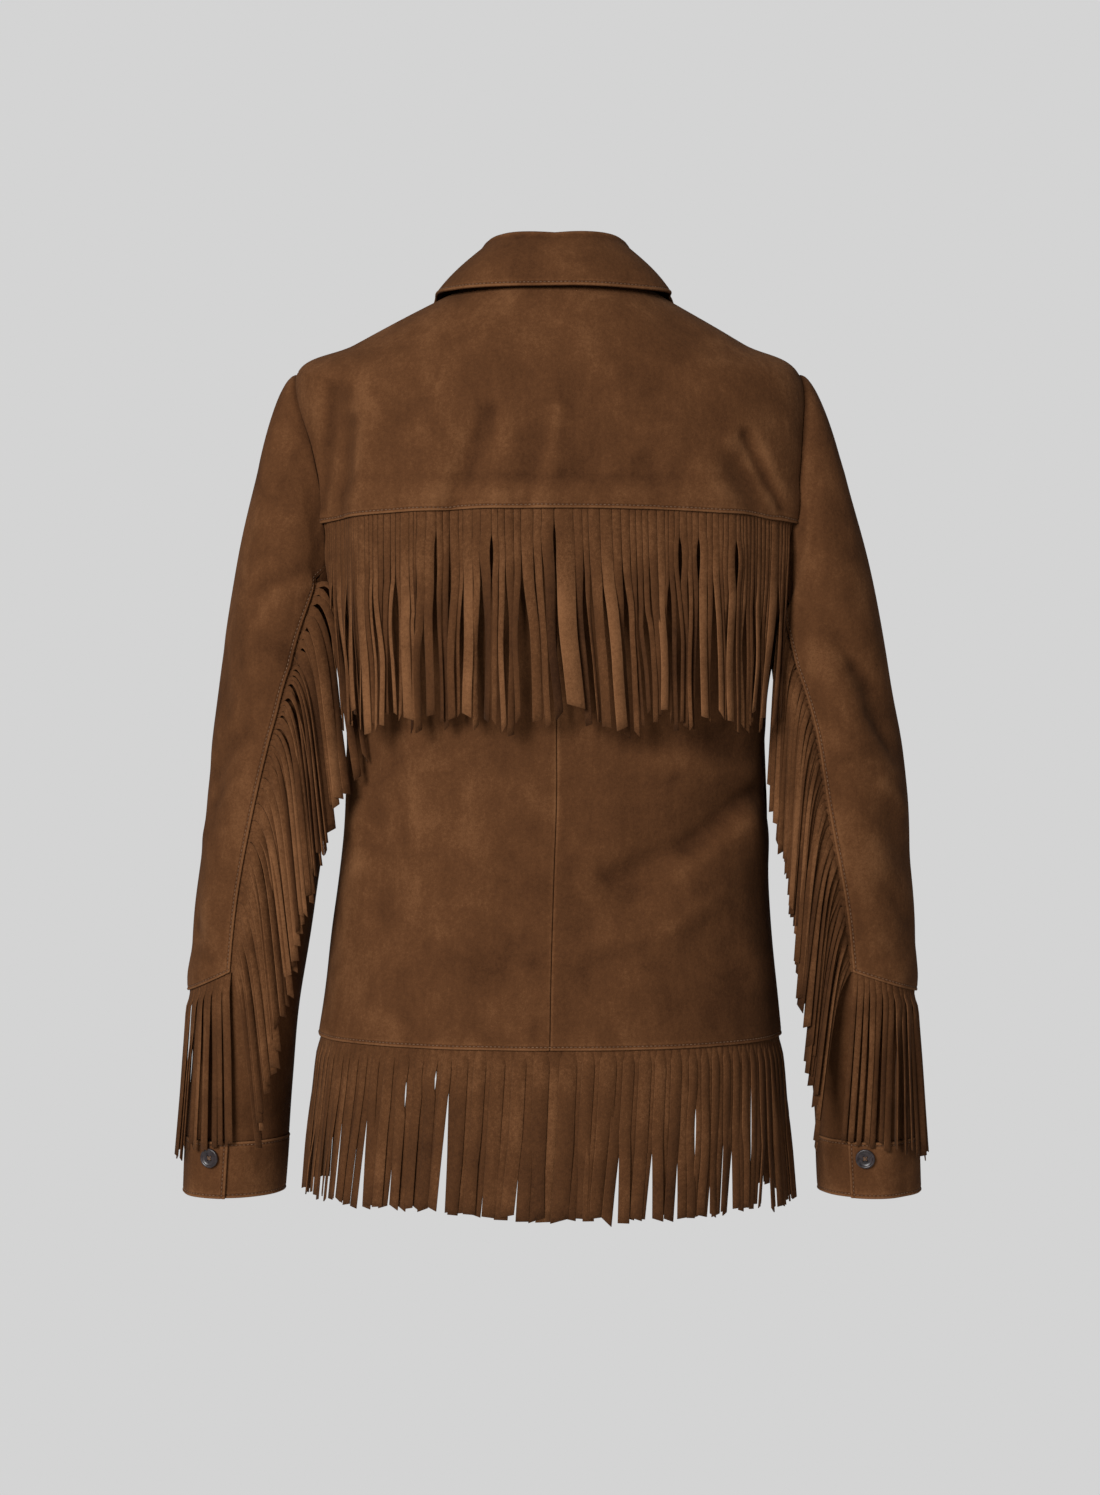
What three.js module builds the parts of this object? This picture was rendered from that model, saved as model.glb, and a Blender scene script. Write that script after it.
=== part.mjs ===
// A woman's suede jacket with cut fringes, filled out as worn with nobody in it.
// Millimetres, +Z up. The wearer faces +Y, so the back is at -Y and the wearer's right hand is at +X.
// The origin is the middle of the neck opening, level with the neck end of the shoulder seams.
import * as THREE from "three";

// Driving dimensions
const SUEDE = 1.5; // thickness of one layer
const FRINGE_SUEDE = 0.9; // thickness of the thinner skin that the fringes are cut from
const CUFF_SUEDE = 2.2; // two layers
const COLLAR_SUEDE = 2.2; // two layers
const SEAM_GAP = 0.3; // between pieces that are sewn edge to edge
const LAYER_GAP = 0.6; // between layers that lie on one another
const ARMHOLE_GAP = 0.8; // between the armhole's edge and the sleeve head
const LAP = 9; // how far an edge laps over the fringe's strip
const BUTTON_WIDE = 15;
const BUTTON_THICK = 3;
const FRONT_LAP = 14; // each front runs this far past the centre
const FRONT_BUTTONS = 5;

const DEG = Math.PI / 180;
const { clamp, lerp, smoothstep } = THREE.MathUtils;
const smooth = (f) => smoothstep(f, 0, 1);
const V = (x, y, z) => new THREE.Vector3(x, y, z);

// The torso's rings from neck to hem: heights at the side seam, back and front, half the width,
// depth to the back and to the front, how square the ring is, and how far it hangs to +X.
const TORSO = [
  { at: "neck", side: -3, back: 4, front: -74,
    half: 64, toBack: 60, toFront: 66, square: 2.1, sway: 4 },
  { at: "collar", side: -26, back: -26, front: -96,
    half: 108.5, toBack: 79, toFront: 84, square: 2.2, sway: 2.5 },
  { at: "shoulder", side: -50, back: -63, front: -122,
    half: 153, toBack: 94, toFront: 99, square: 2.3, sway: 0.5 },
  { at: "tip", side: -70, back: -105, front: -148,
    half: 194, toBack: 103, toFront: 110, square: 2.4, sway: -1 },
  { at: "blades", side: -130, back: -146, front: -178,
    half: 197, toBack: 107, toFront: 119, square: 2.4, sway: 4 },
  { at: "yoke", side: -192, back: -185, front: -214,
    half: 192, toBack: 107, toFront: 124, square: 2.4, sway: 5 },
  { at: "armpit", side: -252, back: -246, front: -256,
    half: 177, toBack: 103, toFront: 120, square: 2.35, sway: 5 },
  { at: "ribs", side: -305, back: -302, front: -306,
    half: 166, toBack: 96, toFront: 109, square: 2.3, sway: 5 },
  { at: "lowribs", side: -350, back: -350, front: -350,
    half: 163, toBack: 91, toFront: 101, square: 2.3, sway: 5 },
  { at: "waist", side: -400, back: -400, front: -400,
    half: 164, toBack: 88, toFront: 98, square: 2.3, sway: 5 },
  { at: "belly", side: -458, back: -458, front: -458,
    half: 167, toBack: 93, toFront: 101, square: 2.3, sway: 3 },
  { at: "hip", side: -525, back: -524, front: -525,
    half: 173.5, toBack: 103, toFront: 107, square: 2.3, sway: 1 },
  { at: "hem", side: -583, back: -585, front: -584,
    half: 180.5, toBack: 112, toFront: 112, square: 2.3, sway: 0 },
];
const row = (name) => TORSO.findIndex((ring) => ring.at === name);
const TIP = row("tip");
const ARMPIT = row("armpit");
const YOKE = row("yoke");
const HEM = row("hem");
const RING_DIP = 1.6; // how late a ring leaves its side height on the way round

// The armhole, in degrees round the torso from the side seam
const SHOULDER_SEAM = 5; // in front of the shoulder's ridge
const ARMHOLE_BACK = 24;
const ARMHOLE_FRONT = 27;
const ARMHOLE_ROUND = 0.8;

// The sleeve's rings below the armpit: height, centre, half width, half depth and how far both hang to +X.
const SLEEVE = [
  { z: -300, out: 214.5, fore: 0, half: 45, deep: 58, sway: 4 },
  { z: -345, out: 219, fore: 1, half: 47, deep: 58, sway: 5 },
  { z: -402, out: 225, fore: 2, half: 47.5, deep: 56, sway: 5 },
  { z: -480, out: 233.5, fore: 4, half: 46, deep: 53, sway: 4 },
  { z: -558, out: 239, fore: 7, half: 42, deep: 49, sway: 2 },
  { z: -620, out: 243.5, fore: 10, half: 40, deep: 46, sway: 1.5 },
  { z: -664, out: 246.5, fore: 12, half: 39.5, deep: 44, sway: 1.5 },
  { z: -708, out: 249.5, fore: 14, half: 39.5, deep: 43, sway: 1.5 },
];
const CUFF_TOP = SLEEVE.length - 1; // in sleeve rows, where 0 is the armhole and 1 the first ring
const CUFF_END = SLEEVE.length;
// How the sleeve head leaves the armhole, at its top, back, underarm and front, as [out, fore, up]
const HEAD_LEAVES = [[57, 0, 26], [52, -20, -70], [3, 0, -42], [52, 20, -70]];

// The hind seam's place round each sleeve, in degrees from its outer side to its back, row by row: the
// right sleeve hangs turned further in
const HIND_SEAM = [
  { left: 134, right: 154 },
  { left: 107, right: 130 },
  { left: 96, right: 117 },
  { left: 86.5, right: 112 },
  { left: 80, right: 105 },
  { left: 78.5, right: 100 },
  { left: 78, right: 101 },
  { left: 79, right: 104 },
  { left: 80, right: 107 },
];
const CUFF_LAP = { left: 88, right: 117 }; // where the cuff's upper end stops, in the same degrees
const FORE_SEAM = -115;
const CROSS_SEAM = { hind: 4.66, outer: 4.9 }; // the sleeve rows where the outer panel ends

// Large folds of the torso: a soft trough (deep < 0) or ridge from one point to the other, as [x, z]
const BACK_FOLDS = [
  { from: [-52, -138], to: [-71, -190], wide: 17, deep: -4.5 },
  { from: [-32, -120], to: [-40, -188], wide: 16, deep: 3 },
  { from: [6, -150], to: [-1, -190], wide: 12, deep: 2 },
  { from: [-160, -100], to: [-166, -195], wide: 15, deep: -6 },
  { from: [-136, -112], to: [-136, -188], wide: 16, deep: 3.5 },
  { from: [141, -150], to: [172, -212], wide: 13, deep: -5 },
  { from: [120, -160], to: [143, -205], wide: 15, deep: 2.5 },
  { from: [150, -398], to: [58, -462], wide: 20, deep: -6 },
  { from: [150, -432], to: [90, -488], wide: 20, deep: 3 },
  { from: [-138, -345], to: [-126, -485], wide: 14, deep: -3.5 },
];
const FRONT_FOLDS = [
  { from: [120, -235], to: [62, -330], wide: 18, deep: -4 },
  { from: [-116, -240], to: [-55, -322], wide: 17, deep: -4 },
  { from: [140, -390], to: [60, -430], wide: 18, deep: -5 },
  { from: [-142, -400], to: [-70, -450], wide: 20, deep: -4 },
  { from: [92, -500], to: [98, -580], wide: 20, deep: 3.5 },
];
// Large folds of each sleeve: from and to are [degrees round, z]
const SLEEVE_FOLDS = {
  left: [
    { from: [70, -238], to: [118, -222], wide: 9, deep: -4 },
    { from: [34, -382], to: [70, -352], wide: 13, deep: -3.5 },
    { from: [150, -330], to: [200, -372], wide: 13, deep: -5 },
    { from: [-80, -345], to: [-20, -372], wide: 15, deep: -5 },
    { from: [-110, -395], to: [-40, -420], wide: 14, deep: -4 },
  ],
  right: [
    { from: [92, -272], to: [38, -334], wide: 15, deep: -3.5 },
    { from: [72, -305], to: [34, -366], wide: 12, deep: -4 },
    { from: [60, -420], to: [30, -446], wide: 16, deep: -3 },
    { from: [150, -322], to: [200, -362], wide: 13, deep: -5 },
    { from: [-90, -350], to: [-25, -385], wide: 15, deep: -5 },
  ],
};

// The collar, from the middle of the back to the front end: degrees round the neck, how far the fold
// lies inside the neck seam and above it, the outer edge's place on the torso and height off it, and how
// far the collar starts above the neck seam.
const COLLAR = [
  { turn: -90, foldIn: 3, foldUp: 20, edgeTurn: -90, edgeRow: 0.8, edgeOff: 8, start: 0.6 },
  { turn: -45, foldIn: 6, foldUp: 25, edgeTurn: -45, edgeRow: 0.78, edgeOff: 7, start: 0.6 },
  { turn: 0, foldIn: 9, foldUp: 24, edgeTurn: 0, edgeRow: 0.62, edgeOff: 5, start: 0.6 },
  { turn: 44, foldIn: 4, foldUp: 33, edgeTurn: 36, edgeRow: 1.35, edgeOff: 5, start: 1.2 },
  { turn: 86, foldIn: 1, foldUp: 14, edgeTurn: 62, edgeRow: 2.1, edgeOff: 5, start: 3.2 },
];
const COLLAR_FOLD = 4; // radius of the fold
const COLLAR_BULGE = 3;

// The fringes: strands, their length, and how far below the seam the slits start
const YOKE_FRINGE = { long: 156, slit: 3 }; // with two strands for each of the yoke's columns
const HEM_FRINGE = { strands: 76, long: 117, slit: 3, past: 26 };
const SLEEVE_FRINGE = { hind: 40, cross: 20, long: 138, slit: 2, start: 0.09 };
// How far a strand of the hind seam bows inwards where it leaves the seam, and how far it leans inwards
// on its way down, from the top of the seam to the bottom
const HIND_HANG = {
  left: [
    { bow: 8, lean: 10 }, { bow: 10, lean: 12 }, { bow: 11, lean: 12 }, { bow: 11, lean: 13 },
    { bow: 9, lean: 14 },
  ],
  right: [
    { bow: 4, lean: 2 }, { bow: 6, lean: 3 }, { bow: 9, lean: 8 }, { bow: 11, lean: 12 },
    { bow: 12, lean: 15 },
  ],
};
// How far round the sleeve the hindmost strands of the cross seam swing inwards, in degrees
const CROSS_SWING = { left: 22, right: 28 };
const STRAND_TILT = 60; // degrees that a strand at the hind seam is turned edge-on
const STRIP = 8; // height of the uncut strip
const SLEEVE_STRIP_GAP = 0.9; // between the sleeves' strips and the panels below them

const COLOURS = {
  suede: new THREE.Color(0x5c3c25),
  fringe: new THREE.Color(0x57371f),
  button: new THREE.Color(0x2c2326),
};

// A column of a table at a fractional row, on a smooth curve, run on straight past both ends
function along(table, key, at) {
  const last = table.length - 1;
  if (at > last) return table[last][key] + (at - last) * (table[last][key] - table[last - 1][key]);
  const i = Math.min(Math.max(Math.floor(at), 0), last - 1);
  const f = at - i;
  const [b, c] = [table[i][key], table[i + 1][key]];
  const a = i > 0 ? table[i - 1][key] : 2 * b - c;
  const d = i < last - 1 ? table[i + 2][key] : 2 * c - b;
  return b + 0.5 * f * (c - a + f * (2 * a - 5 * b + 4 * c - d + f * (3 * (b - c) + d - a)));
}

// How far the folds push the cloth out at a point of a plane
function foldsAt(folds, x, z) {
  let push = 0;
  for (const { from, to, wide, deep } of folds) {
    const [dx, dz] = [to[0] - from[0], to[1] - from[1]];
    const f = clamp(((x - from[0]) * dx + (z - from[1]) * dz) / (dx * dx + dz * dz), 0, 1);
    const off = Math.hypot(x - from[0] - f * dx, z - from[1] - f * dz);
    push += deep * Math.exp(-((off / wide) ** 2));
  }
  return push;
}

// A point of the torso's outer face: degrees round it (0 right side, 90 front, -90 back) and a ring row
function torsoPoint(turn, at) {
  const [c, n] = [Math.cos(turn * DEG), Math.sin(turn * DEG)];
  const power = 2 / along(TORSO, "square", at);
  const half = along(TORSO, "half", at);
  const deep = along(TORSO, n < 0 ? "toBack" : "toFront", at);
  const side = along(TORSO, "side", at);
  const level = along(TORSO, n < 0 ? "back" : "front", at);
  const across = half * Math.sign(c) * Math.abs(c) ** power;
  const p = V(
    along(TORSO, "sway", at) + across,
    deep * Math.sign(n) * Math.abs(n) ** power,
    side + (level - side) * Math.abs(n) ** RING_DIP,
  );
  const out = V(across / half ** 2, p.y / deep ** 2, 0).normalize();
  return p.addScaledVector(out, foldsAt(n < 0 ? BACK_FOLDS : FRONT_FOLDS, p.x, p.z));
}

// A surface's point and outward normal, from its point function, by small steps
function placed(point, a, b, stepA, stepB, flip) {
  const da = point(a + stepA, b).sub(point(a - stepA, b));
  const db = point(a, b + stepB).sub(point(a, b - stepB));
  return { p: point(a, b), n: db.cross(da).normalize().multiplyScalar(flip) };
}
const torso = (turn, at) => placed(torsoPoint, turn, at, 0.5, 0.02, 1);

// The armhole's place on the torso: half-turn 0 at the shoulder's tip, 180 at the armpit
function armholeTurn(halfTurn, front) {
  const down = (1 - Math.cos(halfTurn * DEG)) / 2;
  const reach = Math.sin(halfTurn * DEG) ** ARMHOLE_ROUND;
  return SHOULDER_SEAM * (1 - down) + (front ? ARMHOLE_FRONT : -ARMHOLE_BACK) * reach;
}
const armholeRow = (halfTurn) => lerp(TIP, ARMPIT, (1 - Math.cos(halfTurn * DEG)) / 2);

// Where a torso panel's side edge runs at a ring row: the shoulder seam, the armhole or the side seam
function sideEdge(at, front) {
  if (at <= TIP) return SHOULDER_SEAM;
  if (at >= ARMPIT) return 0;
  return armholeTurn(Math.acos(1 - (2 * (at - TIP)) / (ARMPIT - TIP)) / DEG, front);
}
const onSide = (side, turn) => (side === "right" ? turn : 180 - turn);
const signOf = (side) => (side === "right" ? 1 : -1);

// The armhole's edge for one place round the sleeve, straight between the panels' own rows, and moved
// off them by the gap
function armhole(side, turn) {
  const round = ((turn % 360) + 360) % 360;
  const front = round > 180;
  const halfTurn = clamp(front ? 360 - round : round, 0.5, 179.5);
  const at = armholeRow(halfTurn);
  const allRows = front ? FRONT_ROWS : [...YOKE_ROWS, ...BACK_ROWS.slice(2)];
  const rows = allRows.filter((r) => r >= TIP && r <= ARMPIT);
  const k = Math.min(rows.findLastIndex((r) => r <= at), rows.length - 2);
  const [a, b] = [rows[k], rows[k + 1]].map((r) => torso(onSide(side, sideEdge(r, front)), r));
  const f = (at - rows[k]) / (rows[k + 1] - rows[k]);
  const n = a.n.lerp(b.n, f).normalize();
  const outward = V(signOf(side), 0, halfTurn < 90 ? -0.2 : -0.6).projectOnPlane(n).normalize();
  return { p: a.p.lerp(b.p, f).addScaledVector(outward, ARMHOLE_GAP), n };
}

// A value round the sleeve from its values at the outer side, back, inner side and front
function round4([a, b, c, d], turn) {
  const t = turn * DEG;
  return (a + b + c + d) / 4 + ((a - c) / 2) * Math.cos(t) + ((b - d) / 2) * Math.sin(t)
    + ((a - b + c - d) / 4) * Math.cos(2 * t);
}

function sleeveRing(side, turn, at) {
  const ring = (key) => along(SLEEVE, key, at);
  return V(
    signOf(side) * (ring("out") + ring("half") * Math.cos(turn * DEG)) + ring("sway"),
    ring("fore") - ring("deep") * Math.sin(turn * DEG),
    ring("z"),
  );
}

// A point of a sleeve's outer face: degrees round it (0 outer side, 90 back) and a sleeve row
function sleevePoint(side, turn, at) {
  let p;
  if (at >= 1) {
    p = sleeveRing(side, turn, at - 1);
  } else {
    const start = armhole(side, turn).p;
    const end = sleeveRing(side, turn, 0);
    const leave = V(...[0, 1, 2].map((k) => round4(HEAD_LEAVES.map((d) => d[k]), turn)));
    leave.x *= signOf(side);
    const arrive = sleeveRing(side, turn, 0.05).sub(end).setLength(start.distanceTo(end));
    const f = Math.max(at, 0);
    p = start.multiplyScalar(1 + f * f * (2 * f - 3))
      .addScaledVector(leave, f * (1 - f) ** 2)
      .addScaledVector(end, f * f * (3 - 2 * f))
      .addScaledVector(arrive, f * f * (f - 1));
  }
  const radius = SLEEVE[0].half;
  const near = turn > 235 ? turn - 360 : turn;
  const folds = SLEEVE_FOLDS[side].map((fold) => ({
    ...fold,
    from: [fold.from[0] * DEG * radius, fold.from[1]],
    to: [fold.to[0] * DEG * radius, fold.to[1]],
  }));
  const push = foldsAt(folds, near * DEG * radius, p.z) * smooth(at);
  return p.add(V(signOf(side) * Math.cos(turn * DEG), -Math.sin(turn * DEG), 0).multiplyScalar(push));
}
function sleeve(side, turn, at) {
  const here = placed((a, b) => sleevePoint(side, a, b), turn, Math.max(at, 0.02), 0.5, 0.02, -signOf(side));
  if (at < 0.6) here.n.lerp(armhole(side, turn).n, 1 - smooth(at / 0.6)).normalize();
  return { p: sleevePoint(side, turn, at), n: here.n };
}

// A closed geometry from points and triangles, turned to face out
function closed(points, triangles) {
  let volume = 0;
  for (const [a, b, c] of triangles) volume += points[a].dot(points[b].clone().cross(points[c]));
  const faces = volume < 0 ? triangles.map(([a, b, c]) => [a, c, b]) : triangles;
  return new THREE.BufferGeometry()
    .setAttribute("position", new THREE.Float32BufferAttribute(points.flatMap((p) => p.toArray()), 3))
    .setIndex(faces.flat());
}

// A wall of cloth over a grid of u and v values: surface(u, v) gives the outer face, lift moves it out,
// and thick goes inwards. Its four edges are drawn in by half the seam gap.
function wall({ us, vs, surface, lift = () => 0, thick = SUEDE }) {
  const grid = vs.map((v) => us.map((u) => surface(u, v)));
  const [across, down] = [us.length - 1, vs.length - 1];
  const trim = (edge, next) => edge.p.addScaledVector(next.p.clone().sub(edge.p).normalize(), SEAM_GAP / 2);
  for (const line of grid) {
    trim(line[0], line[1]);
    trim(line[across], line[across - 1]);
  }
  for (let i = 0; i <= across; i++) {
    trim(grid[0][i], grid[1][i]);
    trim(grid[down][i], grid[down - 1][i]);
  }
  const faces = [[], []];
  grid.forEach((line, j) => line.forEach(({ p, n }, i) => {
    const outer = p.clone().addScaledVector(n, lift(us[i], vs[j]));
    faces[0].push(outer);
    faces[1].push(outer.clone().addScaledVector(n, -thick));
  }));
  const at = (layer, i, j) => layer * (across + 1) * (down + 1) + j * (across + 1) + i;
  const triangles = [];
  const quad = (a, b, c, d) => triangles.push([a, b, c], [a, c, d]);
  for (let j = 0; j < down; j++) {
    for (let i = 0; i < across; i++) {
      quad(at(0, i, j), at(0, i, j + 1), at(0, i + 1, j + 1), at(0, i + 1, j));
      quad(at(1, i, j), at(1, i + 1, j), at(1, i + 1, j + 1), at(1, i, j + 1));
    }
    quad(at(0, 0, j), at(1, 0, j), at(1, 0, j + 1), at(0, 0, j + 1));
    quad(at(0, across, j), at(0, across, j + 1), at(1, across, j + 1), at(1, across, j));
  }
  for (let i = 0; i < across; i++) {
    quad(at(0, i, 0), at(0, i + 1, 0), at(1, i + 1, 0), at(1, i, 0));
    quad(at(0, i, down), at(1, i, down), at(1, i + 1, down), at(0, i + 1, down));
  }
  return closed(faces.flat(), triangles);
}
const evenly = (count) => Array.from({ length: count + 1 }, (_, i) => i / count);

// A surface as a wall's facets have it: straight between the grid's points, and on past its edges
function faceted(us, vs, surface) {
  const cell = (list, x) => {
    let i = 0;
    while (i < list.length - 2 && x > list[i + 1]) i++;
    return [i, (x - list[i]) / (list[i + 1] - list[i])];
  };
  const grid = vs.map((v) => us.map((u) => surface(u, v)));
  return (u, v) => {
    const [i, fu] = cell(us, u);
    const [j, fv] = cell(vs, v);
    const mix = (key) => grid[j][i][key].clone().lerp(grid[j][i + 1][key], fu)
      .lerp(grid[j + 1][i][key].clone().lerp(grid[j + 1][i + 1][key], fu), fv);
    return { p: mix("p"), n: mix("n").normalize() };
  };
}

// A fringe: a strip along a seam, slit into strands at its lower edge. top and root are the strip's
// points from end to end, and strand(i) gives the strand's centres, half widths and thickness directions.
function fringe(top, root, strand) {
  const points = [];
  const triangles = [];
  const add = (p) => points.push(p) - 1;
  const pair = ({ p, n }) => [add(p.clone()), add(p.clone().addScaledVector(n, FRINGE_SUEDE))];
  const quad = (a, b, c, d) => triangles.push([a, b, c], [a, c, d]);
  const upper = top.map(pair);
  const lower = root.map(pair);
  const bridge = (a, b, c, d) => {
    quad(a[1], b[1], d[1], c[1]);
    quad(a[0], c[0], d[0], b[0]);
  };
  const end = (a, c) => quad(a[0], a[1], c[1], c[0]);
  const last = root.length - 1;
  for (let i = 0; i < last; i++) {
    bridge(upper[i], upper[i + 1], lower[i], lower[i + 1]);
    quad(upper[i][0], upper[i + 1][0], upper[i + 1][1], upper[i][1]);
    let [left, right] = [lower[i], lower[i + 1]];
    for (const { p, wide, n } of strand(i)) {
      const next = [-1, 1].map((k) => pair({ p: p.clone().addScaledVector(wide, k), n }));
      bridge(left, right, next[0], next[1]);
      quad(left[1], next[0][1], next[0][0], left[0]);
      quad(right[0], next[1][0], next[1][1], right[1]);
      [left, right] = next;
    }
    quad(left[1], right[1], right[0], left[0]);
  }
  end(upper[0], lower[0]);
  end(lower[last], upper[last]);
  return closed(points, triangles);
}

// One strand that leaves its seam, turns to hang down and drifts on the way: bow is how far it goes
// sideways as it turns, drift how far on the way down, and twist its width's direction once it hangs.
function hangingStrand({ left, right, long, bow, drift, twist, stations }) {
  const root = left.p.clone().add(right.p).multiplyScalar(0.5);
  const half = left.p.distanceTo(right.p) / 2;
  const out = left.n.clone().add(right.n).normalize();
  const seam = right.p.clone().sub(left.p).normalize();
  const sideways = (s) => bow.clone().multiplyScalar(1 - Math.exp(-s / STRAND_TURN))
    .addScaledVector(drift, s / long);
  let drop = 0;
  let before = 0;
  return stations.map((f) => {
    const s = f * long;
    const step = sideways(s).sub(sideways(before)).length();
    drop += Math.sqrt(Math.max((s - before) ** 2 - step ** 2, (0.1 * (s - before)) ** 2));
    before = s;
    const ease = smooth(s / STRAND_TWISTED);
    const wide = seam.clone().lerp(twist, ease).normalize();
    const flat = V(twist.y, -twist.x, 0);
    if (flat.dot(out) < 0) flat.negate();
    const n = out.clone().lerp(flat, ease).projectOnPlane(wide).normalize();
    const p = root.clone().add(sideways(s)).add(V(0, 0, -drop));
    return { p, wide: wide.multiplyScalar(half * STRAND_SHARE), n };
  });
}
const STRAND_TURN = 22;
const STRAND_TWISTED = 30;
const STRAND_SHARE = 0.8;
const wave = (i, ...parts) =>
  parts.reduce((sum, [size, pace, start]) => sum + size * Math.sin(i * pace + start), 0);

// The yoke and the two lower back panels it laps over, on the same columns
const LAP_ROWS = LAP / (TORSO[YOKE].side - TORSO[ARMPIT].side);
const RAISE = FRINGE_SUEDE + 2 * LAYER_GAP + SUEDE; // over a strip and the panel below it
const BACK_COLUMNS = 28;
const YOKE_RISE = YOKE - LAP_ROWS - 0.5; // the row where the yoke starts to lift over the strip
const YOKE_ROWS = [0, 0.45, 0.9, 1.4, 1.9, 2.45, 3, 3.5, 4, YOKE_RISE, YOKE - LAP_ROWS, YOKE];
const BELOW_ARMPIT = [6.6, 7.3, 8, 8.7, 9.4, 10.2, 11.1, HEM];
const BACK_ROWS = [YOKE - LAP_ROWS, YOKE, 5.4, ARMPIT, ...BELOW_ARMPIT];

function backSurface(u, at) {
  const edge = sideEdge(at, false);
  return torso(lerp(edge, -180 - edge, u), at);
}
const yoke = () => wall({
  us: evenly(BACK_COLUMNS),
  vs: YOKE_ROWS,
  surface: backSurface,
  lift: (u, at) => RAISE * smooth((at - YOKE_RISE) / (YOKE - LAP_ROWS - YOKE_RISE)),
});
function lowerBack(side) {
  const surface = (u, at) => backSurface(side === "right" ? 0.5 - u / 2 : 0.5 + u / 2, at);
  return wall({ us: evenly(BACK_COLUMNS / 2), vs: BACK_ROWS, surface });
}

function yokeFringe() {
  const { long, slit } = YOKE_FRINGE;
  const strands = 2 * BACK_COLUMNS - 4;
  const surface = faceted(evenly(BACK_COLUMNS), YOKE_ROWS, backSurface);
  const place = (i, drop) => {
    const at = YOKE + drop / (TORSO[YOKE].side - TORSO[ARMPIT].side);
    const { p, n } = surface(1 - (i + 2) / (strands + 4), at);
    return { p: p.addScaledVector(n, LAYER_GAP), n };
  };
  const line = (drop) => Array.from({ length: strands + 1 }, (_, i) => place(i, drop));
  const root = line(slit);
  return fringe(line(slit - STRIP), root, (i) => {
    const [left, right] = [root[i], root[i + 1]];
    const f = (2 * i) / (strands - 1) - 1;
    return hangingStrand({
      left, right,
      long: long + wave(i, [5, 0.61, 0], [3, 1.7, 1]),
      bow: left.n.clone().setZ(0).setLength(4),
      drift: V(wave(i, [2, 0.3, 0.5]) - 10 * f ** 5, -3, 0),
      twist: right.p.clone().sub(left.p).setZ(0).normalize(),
      stations: [0.25, 1],
    });
  });
}

function hemFringe() {
  const { strands, long, slit, past } = HEM_FRINGE;
  const inside = -SUEDE - 2 * LAYER_GAP - FRINGE_SUEDE;
  const place = (i, drop) => {
    const at = HEM + drop / (TORSO[HEM - 1].side - TORSO[HEM].side);
    const { p, n } = torso(lerp(-180 - past, past, i / strands), at);
    return { p: p.addScaledVector(n, inside), n };
  };
  const line = (drop) => Array.from({ length: strands + 1 }, (_, i) => place(i, drop));
  const root = line(slit);
  return fringe(line(slit - STRIP), root, (i) => {
    const [left, right] = [root[i], root[i + 1]];
    const f = i / strands - 0.5;
    return hangingStrand({
      left, right,
      long: long + wave(i, [3, 0.53, 0], [3, 1.9, 2]),
      bow: left.n.clone().setZ(0).setLength(1 + 4 * (2 * f) ** 2),
      drift: V(
        18 * f - 5 * Math.cos(f * Math.PI) + wave(i, [1, 0.8, 0]),
        -8 * Math.cos(f * Math.PI * 1.2),
        0,
      ),
      twist: right.p.clone().sub(left.p).setZ(0).normalize(),
      stations: [0.3, 1],
    });
  });
}

// The fronts: the wearer's right one laps over the left one
const FRONT_ROWS = [0, 0.5, 1, 1.5, 2, 2.5, TIP, 3.4, 3.9, 4.5, 5.1, 5.6, ARMPIT, ...BELOW_ARMPIT];
const FRONT_RAISE = SUEDE + 2 * LAYER_GAP;
const FRONT_COLUMNS = [0, 0.12, 0.24, 0.34, 0.44, 0.54, 0.63, 0.72, 0.81, 0.9, 1];
const frontPast = (at) => FRONT_LAP / along(TORSO, "half", at) / DEG;
const frontSurface = (side) => (u, at) =>
  torso(onSide(side, lerp(90 + frontPast(at), sideEdge(at, true), u)), at);
function frontPanel(side) {
  const raise = side === "right" ? FRONT_RAISE : 0;
  const lift = (u) => raise * (1 - smooth((u - 0.24) / 0.2));
  return wall({ us: FRONT_COLUMNS, vs: FRONT_ROWS, surface: frontSurface(side), lift });
}

// The collar: up from the neck seam, over the fold and down to its outer edge
function collarPoint(u, v) {
  const at = Math.abs(2 * u - 1) * (COLLAR.length - 1);
  const side = u < 0.5 ? "left" : "right";
  const get = (key) => along(COLLAR, key, at);
  const neck = torsoPoint(onSide(side, get("turn")), 0).add(V(0, 0, get("start")));
  const outward = V(neck.x - TORSO[0].sway, neck.y, 0).normalize();
  const fold = neck.clone().addScaledVector(outward, -get("foldIn")).add(V(0, 0, get("foldUp")));
  const place = torso(onSide(side, get("edgeTurn")), get("edgeRow"));
  const edge = place.p.addScaledVector(place.n, get("edgeOff"));
  const [standEnd, leafStart] = [0.3, 0.5];
  const inside = fold.clone().addScaledVector(outward, -COLLAR_FOLD * 0.6);
  const outside = fold.clone().addScaledVector(outward, COLLAR_FOLD * 1.2);
  if (v < standEnd) return neck.lerp(inside, v / standEnd);
  if (v < leafStart) {
    const f = (v - standEnd) / (leafStart - standEnd);
    return inside.lerp(outside, (1 - Math.cos(f * Math.PI)) / 2)
      .add(V(0, 0, COLLAR_FOLD * Math.sin(f * Math.PI)));
  }
  const f = (v - leafStart) / (1 - leafStart);
  return outside.lerp(edge, f).addScaledVector(outward, COLLAR_BULGE * Math.sin(f * Math.PI));
}
function collar() {
  const inside = (f) => clamp(f, 0.002, 0.998);
  const surface = (u, v) => placed(collarPoint, inside(u), inside(v), 0.002, 0.002, 1);
  return wall({ us: evenly(24), vs: evenly(10), surface, thick: COLLAR_SUEDE });
}

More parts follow.
